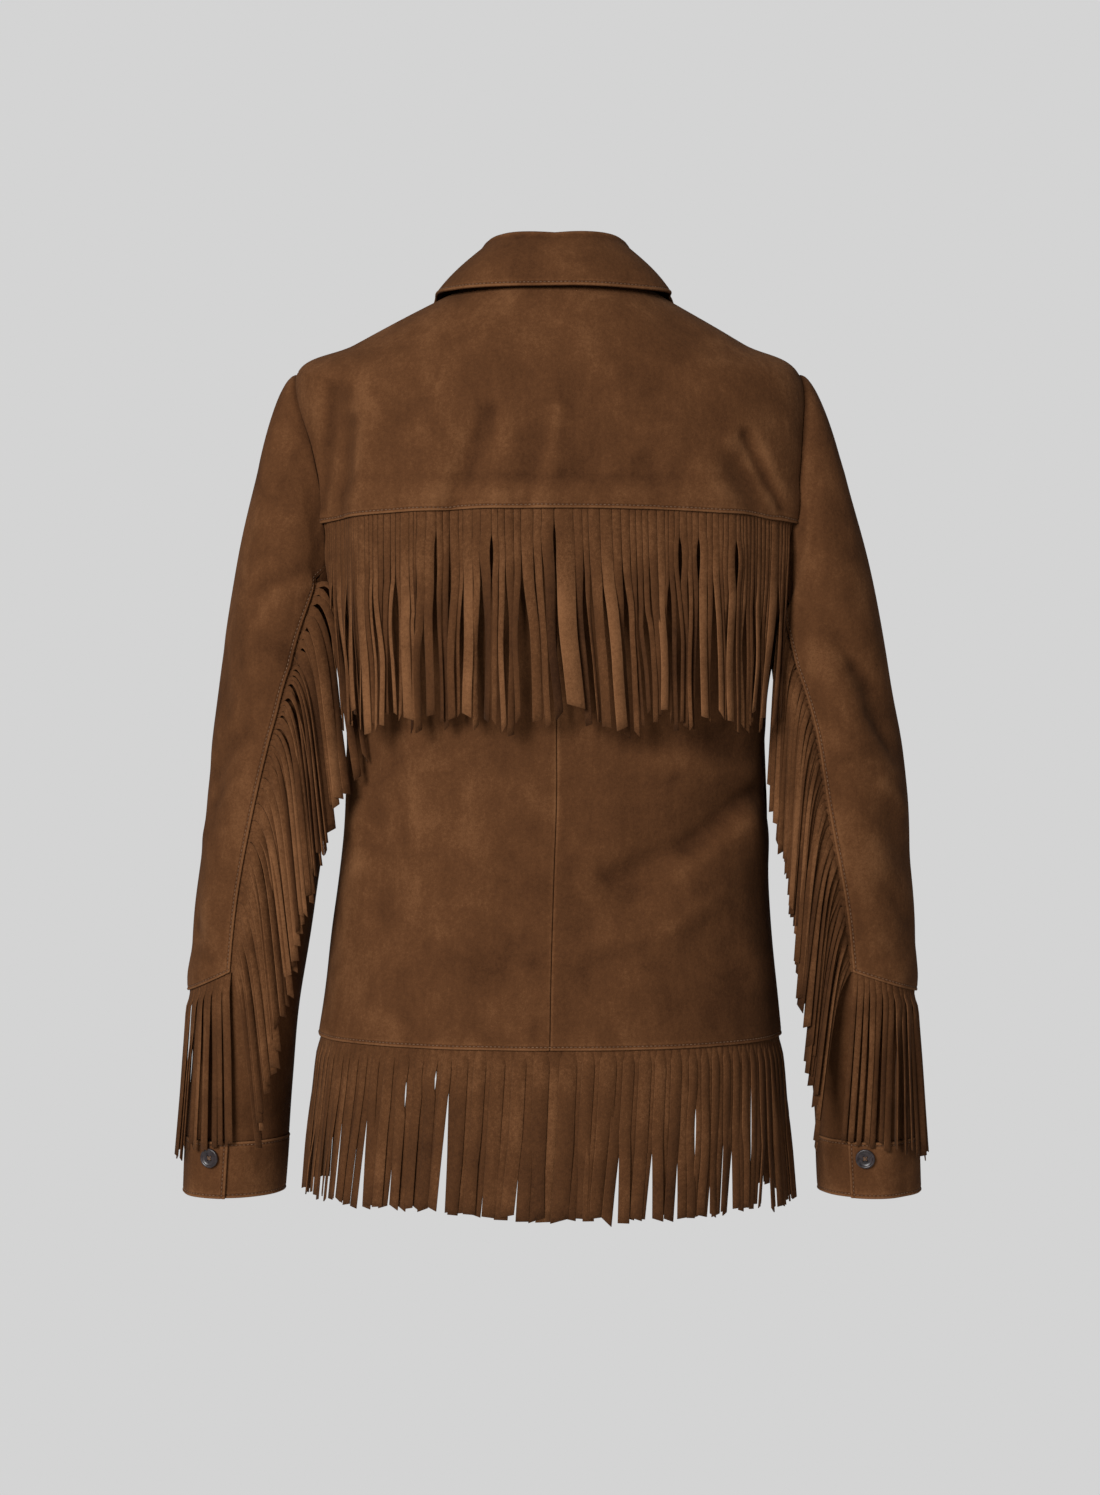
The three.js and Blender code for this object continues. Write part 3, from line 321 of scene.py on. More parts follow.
def panel(name, surface, edges, step=3.2, lift=None, thick=SUEDE, seam_shade=-0.5):
    """A closed panel of suede over surface(u, v). edges says which of left, right, top and bottom are
    turned and topstitched. Returns the object and its outer face as grids of points and normals."""
    fine = np.linspace(0, 1, 141)
    dense = surface(*np.meshgrid(fine, fine))[0]

    def lengths(axis):
        steps = np.linalg.norm(np.diff(dense, axis=axis), axis=-1)
        run = np.cumsum(steps, axis=axis)
        pad = [(0, 0), (0, 0)]
        pad[axis] = (1, 0)
        return np.pad(run, pad)

    def distances(total, near, far, count):
        squeeze = min(1.0, total / (2.2 * (near[-1] + far[-1])))
        start, stop = np.array(near) * squeeze, total - np.array(far[::-1]) * squeeze
        return np.concatenate([start, np.linspace(start[-1], stop[0], count + 2)[1:-1], stop])

    near_far = [TURNED if key in edges else SEAM for key in ("left", "right", "top", "bottom")]
    u_run, v_run = lengths(1), lengths(0)
    across = int(np.median(u_run[:, -1]) / step)
    down = int(np.median(v_run[-1]) / step)
    u_table = np.array([np.interp(distances(run[-1], *near_far[:2], across), run, fine) for run in u_run])
    v_table = np.array([np.interp(distances(run[-1], *near_far[2:], down), run, fine) for run in v_run.T])
    columns, rows = u_table.shape[1], v_table.shape[1]
    v = np.repeat(np.linspace(0, 1, rows)[:, None], columns, 1)
    for _ in range(5):
        u = np.stack([np.interp(v[:, k], fine, u_table[:, k]) for k in range(columns)], 1)
        v = np.stack([np.interp(u[k], fine, v_table[:, k]) for k in range(rows)], 0)
    left, right, top, bottom = near_far
    # Away from the rims the grid is evened out, so that no face turns over below the armholes
    inner = slice(len(top), rows - len(bottom)), slice(len(left), columns - len(right))
    for _ in range(12):
        for share in (u, v):
            share[inner] = (neighbours(share) / 4)[inner]
    p, n = surface(u, v)

    far_off = 99.0
    d_left = np.array(left + [far_off] * (columns - len(left)))[None, :]
    d_right = np.array([far_off] * (columns - len(right)) + right[::-1])[None, :]
    d_top = np.array(top + [far_off] * (rows - len(top)))[:, None]
    d_bottom = np.array([far_off] * (rows - len(bottom)) + bottom[::-1])[:, None]
    sink = np.zeros(u.shape)
    edge_wear_and_painted_light = np.zeros(u.shape)
    for key, d in (("left", d_left), ("right", d_right), ("top", d_top), ("bottom", d_bottom)):
        sink = sink + dents(d, key in edges)
        if key in edges:
            # A turned edge: its rolled rim is paler, partly rubbed wear and partly a painted highlight, and
            # its stitch groove is darkened with painted shade
            edge_wear_and_painted_light = edge_wear_and_painted_light + 0.6 * np.exp(-(d / 1.5) ** 2) - 0.6 * np.exp(-(((d - STITCH_LINE) / 0.9) ** 2))
        else:
            # A plain seam: painted shade along it where seam_shade is below zero, a paler line where it is
            # above
            edge_wear_and_painted_light = edge_wear_and_painted_light + seam_shade * np.exp(-(d / 2.4) ** 2)
    sink = np.minimum(sink, 0.62 * thick)
    raised = lift(u, v) if lift is not None else 0
    outer = p + n * (raised - sink)[..., None]
    inner = p + n * (raised - thick + np.clip(sink, 0, 0.35 * thick))[..., None]

    # Rubbed paler where the cloth bends outwards, and painted shade where it bends inwards into a crease
    bend = np.zeros(u.shape)
    for axis in (0, 1):
        q = np.moveaxis(outer, axis, 0)
        m = np.moveaxis(n, axis, 0)
        step_ = np.diff(q, axis=0)
        size = np.linalg.norm(step_, axis=-1, keepdims=True) + 1e-6
        turn = np.diff(step_ / size, axis=0) / (0.5 * (size[1:] + size[:-1]))
        curve = -(turn * m[1:-1]).sum(-1)
        np.moveaxis(bend, axis, 0)[1:-1] += np.clip(curve - 0.008, -0.06, 0.06)
    bend = (bend + neighbours(bend)) / 5
    worn = np.clip(edge_wear_and_painted_light + 7 * bend, -1, 1)

    grid = np.arange(rows * columns).reshape(rows, columns)
    other = grid + rows * columns

    def quads(a, b, c, d):
        return np.stack([a.ravel(), b.ravel(), c.ravel(), d.ravel()], 1)

    faces = [
        quads(grid[:-1, :-1], grid[1:, :-1], grid[1:, 1:], grid[:-1, 1:]),
        quads(other[:-1, :-1], other[:-1, 1:], other[1:, 1:], other[1:, :-1]),
        quads(grid[:-1, 0], other[:-1, 0], other[1:, 0], grid[1:, 0]),
        quads(grid[:-1, -1], grid[1:, -1], other[1:, -1], other[:-1, -1]),
        quads(grid[0, :-1], grid[0, 1:], other[0, 1:], other[0, :-1]),
        quads(grid[-1, :-1], other[-1, :-1], other[-1, 1:], grid[-1, 1:]),
    ]
    points = np.concatenate([outer.reshape(-1, 3), inner.reshape(-1, 3)])
    faces = np.concatenate(faces)
    a, b, c = (points[faces[:, k]] for k in range(3))
    d = points[faces[:, 3]]
    volume = (a * np.cross(b, c)).sum() + (a * np.cross(c, d)).sum()
    if volume < 0:
        faces = faces[:, ::-1]
    obj = mesh_object(name, points, faces, BROWN_SUEDE)
    number(obj, "worn", np.concatenate([worn.ravel(), np.full(worn.size, -0.1)]))
    return obj, outer, n


def mesh_object(name, points, faces, material):
    mesh = bpy.data.meshes.new(name)
    mesh.from_pydata((np.asarray(points) * 0.001).tolist(), [], [list(map(int, f)) for f in faces])
    mesh.materials.append(material)
    mesh.shade_smooth()
    mesh.update()
    obj = bpy.data.objects.new(name, mesh)
    bpy.context.scene.collection.objects.link(obj)
    return obj


def number(obj, name, values):
    obj.data.attributes.new(name, "FLOAT", "POINT").data.foreach_set("value", np.asarray(values, np.float32))


SHOULDER_SEAM, ARMHOLE_BACK, ARMHOLE_FRONT, ARMHOLE_ROUND = 5, 24, 27, 0.8


def armhole_turn(half_turn, front):
    down = (1 - np.cos(half_turn * DEG)) / 2
    reach = np.sin(half_turn * DEG) ** ARMHOLE_ROUND
    return SHOULDER_SEAM * (1 - down) + np.where(front, ARMHOLE_FRONT, -ARMHOLE_BACK) * reach


def side_edge(at, front):
    """Where a body panel's side edge runs: the shoulder seam, the armhole, then the side seam."""
    at = np.asarray(at, float)
    share = np.clip((at - TIP) / (ARMPIT - TIP), 0, 1)
    edge = armhole_turn(np.degrees(np.arccos(1 - 2 * share)), front)
    return np.where(at <= TIP, SHOULDER_SEAM, np.where(at >= ARMPIT, 0.0, edge))


# The yoke: one piece of suede over both shoulders and down to the shoulder blades. Its lower edge is
# turned under and topstitched over the fringe, which puffs it into a soft roll. A ring of the body is
# about as far from the next one as ROW_LONG at the yoke's edge and as HEM_ROW_LONG at the hem.
ROW_LONG, HEM_ROW_LONG = 60, 58
LAP = 9
LAP_ROWS = LAP / ROW_LONG
YOKE_RISE = YOKE - LAP_ROWS - 0.5


def back_surface(u, at):
    edge = side_edge(at, False)
    return body(edge + (-180 - 2 * edge) * u, at)


yoke, yoke_face, yoke_out = panel(
    "yoke_suede",
    lambda u, v: back_surface(u, v * YOKE),
    {"bottom"},
    lift=lambda u, v: RAISE * smooth((v * YOKE - YOKE_RISE) / (YOKE - LAP_ROWS - YOKE_RISE)),
)
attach(yoke, "root")
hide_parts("yoke")

# The lower back: two panels sewn edge to edge down the middle. Their upper edges lie under the yoke
# and its fringe, and their hem is turned up and stitched through the hem fringe.
backs = {}
for side in ("left", "right"):
    def lower_back(u, v, side=side):
        at = YOKE - LAP_ROWS + v * (HEM - YOKE + LAP_ROWS)
        return back_surface(0.5 - u / 2 if side == "right" else 0.5 + u / 2, at)

    backs[side] = panel(f"lower_back_{side}", lower_back, {"bottom"}, seam_shade=0.15)
    obj = backs[side][0]
    # Painted shade: the lower back is painted darker towards its right side, where it turns away from the
    # light
    painted_light_and_tone = -0.5 * smooth((backs[side][1][..., 0].ravel() - 50) / 80)
    number(obj, "tone", np.concatenate([painted_light_and_tone, painted_light_and_tone]))
    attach(obj, "root")
    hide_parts(f"back_{side}")

# The fronts: one panel a side, turned and topstitched at the front edge and hem, the wearer's right
# lapping over the left.
FRONT_LAP = 14
FRONT_RAISE = SUEDE + 2 * LAYER_GAP


def front_past(at):
    return FRONT_LAP / along(BODY, "half", at) / DEG


def on_side(side, turn):
    return turn if side == "right" else 180 - turn


def front_surface(side, u, at):
    start = 90 + front_past(at)
    return body(on_side(side, start + (side_edge(at, True) - start) * u), at)


fronts = {}
for side in ("left", "right"):
    rise = FRONT_RAISE if side == "right" else 0
    fronts[side] = panel(
        f"front_suede_{side}",
        lambda u, v, side=side: front_surface(side, u, v * HEM),
        {"left", "bottom"},
        step=4,
        lift=lambda u, v, rise=rise: rise * (1 - smooth((u - 0.24) / 0.2)),
    )
    obj = fronts[side][0]
    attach(obj, "root")
    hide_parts(f"front_{side}")

# The collar: two layers, standing up from the neck seam and falling over, its outer edge rolled and
# topstitched, with pointed ends at the front.
COLLAR = {
    "turn": [-90, -45, 0, 44, 86],
    "fold_in": [3, 6, 9, 4, 1],
    "fold_up": [20, 25, 24, 33, 14],
    "edge_turn": [-90, -45, 0, 36, 62],
    "edge_row": [0.8, 0.78, 0.62, 1.35, 2.1],
    "edge_off": [8, 7, 5, 5, 5],
    "start": [0.6, 0.6, 0.6, 1.2, 3.2],
}
COLLAR_FOLD, COLLAR_BULGE, COLLAR_THICK = 4, 3, 2.2


def collar_point(u, v):
    u, v = np.broadcast_arrays(np.asarray(u, float), np.asarray(v, float))
    at = np.abs(2 * u - 1) * 4
    left = u < 0.5
    get = lambda key: along(COLLAR, key, at)
    turned = lambda turn: np.where(left, 180 - turn, turn)
    neck = body_point(turned(get("turn")), np.zeros_like(at))
    neck[..., 2] += get("start")
    outward = np.stack([neck[..., 0] - BODY["sway"][0], neck[..., 1], np.zeros_like(at)], -1)
    outward /= np.linalg.norm(outward, axis=-1, keepdims=True)
    up = np.array([0.0, 0, 1])
    fold = neck - outward * get("fold_in")[..., None] + up * get("fold_up")[..., None]
    edge, out = body(turned(get("edge_turn")), get("edge_row"))
    edge = edge + out * get("edge_off")[..., None]
    inside, outside = fold - outward * COLLAR_FOLD * 0.6, fold + outward * COLLAR_FOLD * 1.2
    v = v[..., None]
    stand = neck + (inside - neck) * (v / 0.3)
    f = np.clip((v - 0.3) / 0.2, 0, 1)
    over = inside + (outside - inside) * (1 - np.cos(f * math.pi)) / 2
    over = over + up * COLLAR_FOLD * np.sin(f * math.pi)
    g = np.clip((v - 0.5) / 0.5, 0, 1)
    # The fall waves a little, more so at its edge
    wave = (0.9 * np.sin(u * 21 + 0.6) + 0.7 * np.sin(u * 47 + 2))[..., None] * g
    fall = outside + (edge - outside) * g + outward * (COLLAR_BULGE * np.sin(g * math.pi) + wave)
    return np.where(v < 0.3, stand, np.where(v < 0.5, over, fall))


def collar_surface(u, v):
    return placed(collar_point, np.clip(u, 0.002, 0.998), np.clip(v, 0.002, 0.998), 0.002, 0.002, 1)


collar, collar_face, collar_out = panel(
    "collar_suede", collar_surface, {"left", "right", "bottom"}, step=2.6, thick=COLLAR_THICK
)
number(collar, "tone", np.full(len(collar.data.vertices), -0.34))
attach(collar, "root")
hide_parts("collar")

# The sleeves: an outer and an under panel sewn to the armhole. The outer one laps over the fringe at
# the hind seam and ends above the cuff, where a lower piece goes on.
SLEEVE = {
    "z": [-300, -345, -402, -480, -558, -620, -664, -708],
    "out": [214.5, 219, 225, 233.5, 239, 243.5, 246.5, 249.5],
    "fore": [0, 1, 2, 4, 7, 10, 12, 14],
    "half": [45, 47, 47.5, 46, 42, 40, 39.5, 39.5],
    "deep": [58, 58, 56, 53, 49, 46, 44, 43],
    "sway": [4, 5, 5, 4, 2, 1.5, 1.5, 1.5],
}
CUFF_TOP, CUFF_END = 7, 8
HEAD_LEAVES = [(57, 0, 26), (52, -20, -70), (3, 0, -42), (52, 20, -70)]
HIND_SEAM = {
    "left": [134, 107, 96, 86.5, 80, 78.5, 78, 79, 80],
    "right": [154, 130, 117, 112, 105, 100, 101, 104, 107],
}
CUFF_LAP = {"left": 88, "right": 117}
FORE_SEAM, HIND_LAP = -115, 11
CROSS_HIND, CROSS_OUTER, CROSS_LAP = 4.66, 4.9, 0.13
# Folds as (degrees round, z) to (degrees round, z), how wide and how deep
SLEEVE_FOLDS = {
    "left": [
        ((70, -238), (118, -222), 9, -4), ((34, -382), (70, -352), 13, -3.5),
        ((150, -330), (200, -372), 13, -5), ((-80, -345), (-20, -372), 15, -5),
        ((-110, -395), (-40, -420), 14, -4), ((82, -246), (116, -236), 5, 1.5),
        ((60, -140), (84, -186), 10, 1.4), ((24, -150), (40, -196), 9, -1.5),
        ((46, -250), (70, -300), 11, 1.3), ((22, -290), (40, -336), 10, -1.5),
        ((38, -404), (64, -380), 7, -1.3), ((22, -430), (50, -446), 10, 1.2),
        ((28, -500), (56, -520), 9, -1.2), ((-60, -470), (-30, -500), 10, -1.4),
        ((30, -590), (60, -604), 7, -1.0), ((-60, -580), (-20, -606), 8, -1.2),
        ((130, -420), (190, -440), 9, -1.3),
    ],
    "right": [
        ((92, -272), (38, -334), 15, -3.5), ((72, -305), (34, -366), 12, -4),
        ((60, -420), (30, -446), 16, -3), ((150, -322), (200, -362), 13, -5),
        ((-90, -350), (-25, -385), 15, -5), ((88, -280), (52, -316), 6, -1.8),
        ((96, -196), (70, -158), 7, 2), ((104, -210), (84, -184), 6, -1.8),
        ((64, -336), (40, -360), 6, -1.5), ((56, -390), (30, -408), 8, 1.4),
        ((30, -150), (46, -200), 10, 1.3), ((66, -470), (36, -496), 9, -1.3),
        ((26, -520), (54, -538), 9, 1.0), ((-60, -460), (-30, -490), 10, -1.3),
        ((24, -590), (58, -604), 7, -1.0), ((-60, -585), (-20, -610), 8, -1.2),
        ((130, -430), (190, -445), 9, -1.3),
    ],
}
ARMHOLE_GAP = 0.8


def sign_of(side):
    return 1 if side == "right" else -1


def armhole(side, turn):
    """The armhole's edge for places round the sleeve, moved off the panels by the gap."""
    around = np.mod(turn, 360)
    front = around > 180
    half_turn = np.clip(np.where(front, 360 - around, around), 0.5, 179.5)
    at = TIP + (ARMPIT - TIP) * (1 - np.cos(half_turn * DEG)) / 2
    p, n = body(on_side(side, armhole_turn(half_turn, front)), at)
    sideways, downwards = np.full(at.shape, float(sign_of(side))), np.where(half_turn < 90, -0.2, -0.6)
    way = np.stack([sideways, np.zeros(at.shape), downwards], -1)
    way -= n * (way * n).sum(-1, keepdims=True)
    way /= np.linalg.norm(way, axis=-1, keepdims=True)
    return p + way * ARMHOLE_GAP, n


def round4(values, turn):
    a, b, c, d = values
    t = turn * DEG
    once = (a - c) / 2 * np.cos(t) + (b - d) / 2 * np.sin(t)
    return (a + b + c + d) / 4 + once + (a - b + c - d) / 4 * np.cos(2 * t)


def sleeve_ring(side, turn, at):
    ring = lambda key: along(SLEEVE, key, at)
    return np.stack([
        sign_of(side) * (ring("out") + ring("half") * np.cos(turn * DEG)) + ring("sway"),
        ring("fore") - ring("deep") * np.sin(turn * DEG),
        ring("z") + 0 * turn,
    ], -1)


def sleeve_point(side, turn, at):
    """A point of a sleeve's outer face: degrees round (0 outer side, 90 back) and a sleeve row."""
    turn, at = np.broadcast_arrays(np.asarray(turn, float), np.asarray(at, float))
    lower = sleeve_ring(side, turn, np.maximum(at, 1) - 1)
    start = armhole(side, turn)[0]
    end = sleeve_ring(side, turn, np.zeros_like(at))
    leave = np.stack([round4([d[k] for d in HEAD_LEAVES], turn) for k in range(3)], -1)
    leave[..., 0] *= sign_of(side)
    arrive = sleeve_ring(side, turn, np.full(at.shape, 0.05)) - end
    arrive *= (np.linalg.norm(end - start, axis=-1) / np.linalg.norm(arrive, axis=-1))[..., None]
    f = np.clip(at, 0, 1)[..., None]
    head = (start * (1 + f * f * (2 * f - 3)) + leave * f * (1 - f) ** 2
            + end * f * f * (3 - 2 * f) + arrive * f * f * (f - 1))
    p = np.where((at >= 1)[..., None], lower, head)
    radius = SLEEVE["half"][0]
    near = np.where(turn > 235, turn - 360, turn) * DEG * radius
    folds = [((a * DEG * radius, z0), (b * DEG * radius, z1), wide, deep)
             for (a, z0), (b, z1), wide, deep in SLEEVE_FOLDS[side]]
    push = (folds_at(folds, near, p[..., 2]) + unevenness(p)) * smooth(at)
    out = np.stack([sign_of(side) * np.cos(turn * DEG), -np.sin(turn * DEG), np.zeros_like(turn)], -1)
    return p + out * push[..., None]


def sleeve(side, turn, at):
    turn, at = np.broadcast_arrays(np.asarray(turn, float), np.asarray(at, float))
    point = lambda a, b: sleeve_point(side, a, b)
    n = placed(point, turn, np.maximum(at, 0.02), 0.5, 0.02, -sign_of(side))[1]
    share = (1 - smooth(at / 0.6))[..., None]
    n = n * (1 - share) + armhole(side, turn)[1] * share
    return sleeve_point(side, turn, at), n / np.linalg.norm(n, axis=-1, keepdims=True)


def hind_turn(side, at):
    return along(HIND_SEAM, side, at)


def cross_row(side, turn):
    at_hind = np.cos(hind_turn(side, CROSS_HIND) * DEG)
    f = np.where(turn < 0, 1, np.clip((np.cos(turn * DEG) - at_hind) / (1 - at_hind), 0, 1))
    return CROSS_HIND + (CROSS_OUTER - CROSS_HIND) * f


def lap_turn(at):
    return HIND_LAP * smooth((at / CROSS_HIND - 0.05) / 0.04)


def outer_surface(side, u, v):
    turn = FORE_SEAM + (hind_turn(side, v * CROSS_HIND) - FORE_SEAM) * u
    return sleeve(side, turn, v * cross_row(side, turn))


def lower_surface(side, u, v):
    def at(turn):
        start = cross_row(side, turn) - CROSS_LAP
        return start + (CUFF_TOP - start) * v
    near = FORE_SEAM + (hind_turn(side, CROSS_HIND) - HIND_LAP - FORE_SEAM) * u
    turn = FORE_SEAM + (hind_turn(side, at(near)) - HIND_LAP - FORE_SEAM) * u
    return sleeve(side, turn, at(turn))


sleeves = {}
for side in ("left", "right"):
    def under(u, v, side=side):
        at = v * CUFF_TOP
        start = hind_turn(side, at) - lap_turn(at)
        return sleeve(side, start + (360 + FORE_SEAM - start) * u, at)

    def outer_lift(u, v):
        hind = smooth((u - 0.7) / 0.24) * smooth((v - 0.022) / 0.028)
        return RAISE * np.maximum(hind, smooth((v - 0.9) / 0.075))

    sleeves[side] = {
        "outer": panel(f"outer_sleeve_{side}", lambda u, v, side=side: outer_surface(side, u, v),
                       {"right", "bottom"}, lift=outer_lift),
        "under": panel(f"under_sleeve_{side}", under, set(), step=3.8),
        "lower": panel(f"lower_sleeve_{side}", lambda u, v, side=side: lower_surface(side, u, v), set(),
                       lift=lambda u, v: -LAYER_GAP * (1 - smooth(v / 0.1))),
    }
    for key, (obj, _, _) in sleeves[side].items():
        number(obj, "tone", np.full(len(obj.data.vertices), -0.16))
        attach(obj, "root")
        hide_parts(f"sleeve_{key}_{side}")

# The cuffs: doubled bands round the wrists, topstitched all round, whose upper ends lap over and
# button.
CUFF_UNDERLAP, CUFF_STAND, CUFF_THICK = 32, 0.6, 2.2
CUFF_TURN = 360 + CUFF_UNDERLAP


def cuff_surface(side, u, v):
    return sleeve(side, CUFF_LAP[side] - u * CUFF_TURN, CUFF_TOP + v * (CUFF_END - CUFF_TOP))


def cuff_lift(u, v):
    return CUFF_STAND + (CUFF_THICK + LAYER_GAP) * (1 - smooth((u * CUFF_TURN - CUFF_UNDERLAP - 6) / 30))


cuffs = {}
for side in ("left", "right"):
    cuffs[side] = panel(
        f"cuff_band_{side}",
        lambda u, v, side=side: cuff_surface(side, u, v),
        {"left", "top", "bottom"},
        step=3,
        lift=cuff_lift,
        thick=CUFF_THICK,
    )
    obj = cuffs[side][0]
    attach(obj, "root")
    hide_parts(f"cuff_{side}")

# The fringes: strips of a thinner, limper suede, slit into strands that hang loose. They keep together
# at the top, then twist, lean and lie over one another in clumps, with dark gaps between.
FRINGE = suede("fringe suede", (0.032, 0.0128, 0.0056), (0.09, 0.0365, 0.014), (0.225, 0.1, 0.042),
               cloud=0.6, grain=0.9, sheen=0.04)
DOWN = np.array([0.0, 0, -1])


class Strands:
    """Ribbons collected into one mesh."""

    def __init__(self):
        self.points, self.faces, self.tone, self.worn, self.count = [], [], [], [], 0

    def add(self, centre, wide, out, half, tone, slant=0.0):
        """One ribbon: its centre, width and thickness directions, half width and tone, painted light
        included, at each station.
        """
        t = FRINGE_SUEDE / 2
        rings = len(centre)
        half = np.broadcast_to(half, (rings,))[:, None]
        rim = np.minimum(0.4, half * 0.4)
        flat = half - rim
        corners = [(-half, 0), (-flat, t), (flat, t), (half, 0), (flat, -t), (-flat, -t)]
        ring = np.stack([centre + wide * a + out * b for a, b in corners], 1)
        end = centre[-1] - centre[-2]
        end /= np.linalg.norm(end)
        ring[-1] += np.array([(-1 if a[-1, 0] < 0 else 1) * slant for a, _ in corners])[:, None] * end
        base = self.count
        self.count += rings * 6
        self.points.append(ring.reshape(-1, 3))
        k = np.arange(rings - 1)[:, None] * 6 + base
        j = np.arange(6)[None, :]
        after = (j + 1) % 6
        quads = np.stack([k + j, k + after, k + 6 + after, k + 6 + j], -1).reshape(-1, 4)
        handed = np.cross(wide[0], out[0]) @ (centre[1] - centre[0])
        quads = quads[:, ::-1] if handed < 0 else quads
        self.faces += quads.tolist()
        caps = [[base + c for c in range(5, -1, -1)], [base + (rings - 1) * 6 + c for c in range(6)]]
        self.faces += [cap[::-1] for cap in caps] if handed < 0 else caps
        self.tone.append(np.repeat(np.broadcast_to(tone, (rings,)), 6))
        self.worn.append(np.tile([0.45, 0, 0, 0.45, 0, 0], rings))

    def make(self, name):
        obj = mesh_object(name, np.concatenate(self.points), self.faces, FRINGE)
        number(obj, "tone", np.concatenate(self.tone))
        number(obj, "worn", np.concatenate(self.worn))
        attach(obj, "root")
        return obj


def stations(long, rings):
    return np.concatenate([[-6, -3], np.linspace(0, 1, rings - 2) ** 1.15 * long])


def hang(strands, left, right, higher, out, s, aside, turn, tone, slant, goal=None, narrow=0.06, rise=0.0,
         over=30):
    """A strand from its root between two points of its strip: aside is how far it is off the plumb line
    at each station s, turn its twist, goal the direction that its width takes once it hangs, and rise
    how high it stands up at the root before it falls. It narrows by a share over a length."""
    root = (left + right) / 2
    seam = (right - left) / np.linalg.norm(right - left)
    size = np.diff(s)
    off = np.linalg.norm(np.diff(aside, axis=0), axis=-1)
    drop = np.concatenate([[0], np.cumsum(np.sqrt(np.maximum(size**2 - off**2, (0.1 * size) ** 2)))])
    centre = root + aside - aside[2] + DOWN * (drop - drop[2])[:, None]
    centre = centre - DOWN * (rise * np.clip(s, 0, None) / 7 * np.exp(1 - s / 7))[:, None]
    centre[0], centre[1] = higher, (higher + root) / 2
    tangent = np.gradient(centre, axis=0)
    tangent /= np.linalg.norm(tangent, axis=-1, keepdims=True)
    wide = np.repeat(seam[None, :], len(s), 0)
    if goal is not None:
        ease = smooth(s / 30)[:, None]
        wide = wide * (1 - ease) + goal * ease
    wide = wide - tangent * (tangent * wide).sum(-1, keepdims=True)
    wide /= np.linalg.norm(wide, axis=-1, keepdims=True)
    c, w = np.cos(turn)[:, None], np.sin(turn)[:, None]
    wide = wide * c + np.cross(tangent, wide) * w
    normal = np.cross(tangent, wide)
    if normal[0] @ out < 0:
        normal = -normal
    half = np.linalg.norm(right - left) / 2 * (1 - narrow * smooth((s - 0.13 * over) / over))
    strands.add(centre, wide, normal, half, tone, slant)


def uneven_cuts(count, spread, share=1.0):
    """Where a knife that is guided by eye slits a strip: places from 0 to 1."""
    wide = np.exp(rng.normal(0, spread, count)) * share
    return np.concatenate([[0], np.cumsum(wide)]) / wide.sum()


def clump_shift(gaps, x, z, tip):
    """How far a strand is drawn aside at heights z by the gaps on either side of its clump."""
    shift = np.zeros(np.shape(z))
    gaps = sorted(gaps)
    before = [g for g in gaps if g[0] <= x]
    after = [g for g in gaps if g[0] > x]
    start = before[-1][0] if before else x - 30
    stop = after[0][0] if after else x + 30
    t = (x - start) / (stop - start)
    for gap, sign, share in ((before[-1:], 1, 1 - t), (after[:1], -1, t)):
        for _, top, bottom, wide in gap:
            if bottom > tip + 14:
                f = np.clip((top - z) / (top - bottom), 0, 1)
                open_ = 0.62 * np.sin(math.pi * f**0.75)
            else:
                open_ = np.clip((top - z) / (top - tip), 0, 1) ** 0.85
            shift = shift + sign * 0.5 * wide * share * open_
    return shift


# The yoke's fringe hangs over the lower back from the yoke's edge.
YOKE_STRANDS, YOKE_LONG, YOKE_HALF, SLIT = 78, 156, 175, 3
# Gaps between the clumps as (x, top, bottom, how wide), how far the tips drift aside at each x, and
# where the strands are that catch the light
YOKE_GAPS = [
    (-115, -238, -296, 5.3), (-102, -262, -292, 3.8), (-86, -203, -246, 4.8), (-72, -203, -262, 3.3),
    (-45, -206, -236, 4.3), (-24, -262, -345, 3.3), (4, -196, -228, 3.3), (26, -236, -300, 3.8),
    (34, -240, -305, 3.3), (68, -262, -300, 3.8), (88, -240, -305, 5.8), (98, -206, -240, 5.8),
    (108, -206, -240, 4.8), (140, -208, -245, 5.3), (148, -260, -330, 3.8), (163, -240, -340, 4.8),
]
YOKE_DRIFT = (
    [-175, -155, -125, -100, -60, -30, -10, 10, 30, 60, 90, 120, 140, 158, 175],
    [10, 6, 2, 0, 1, 3, 6, 9, 10, 7, 2, 0, -1, -5, -10],
)
YOKE_LIT = [-153, -139, -118, -104, -84, -43, 2, 19, 52, 82, 92, 104, 138, 155]


def yoke_strip(k, d):
    p, n = back_surface(1 - (0.022 + 0.956 * k), YOKE + np.full(np.shape(k), d / ROW_LONG))
    return p + n * (LAYER_GAP + FRINGE_SUEDE / 2), n


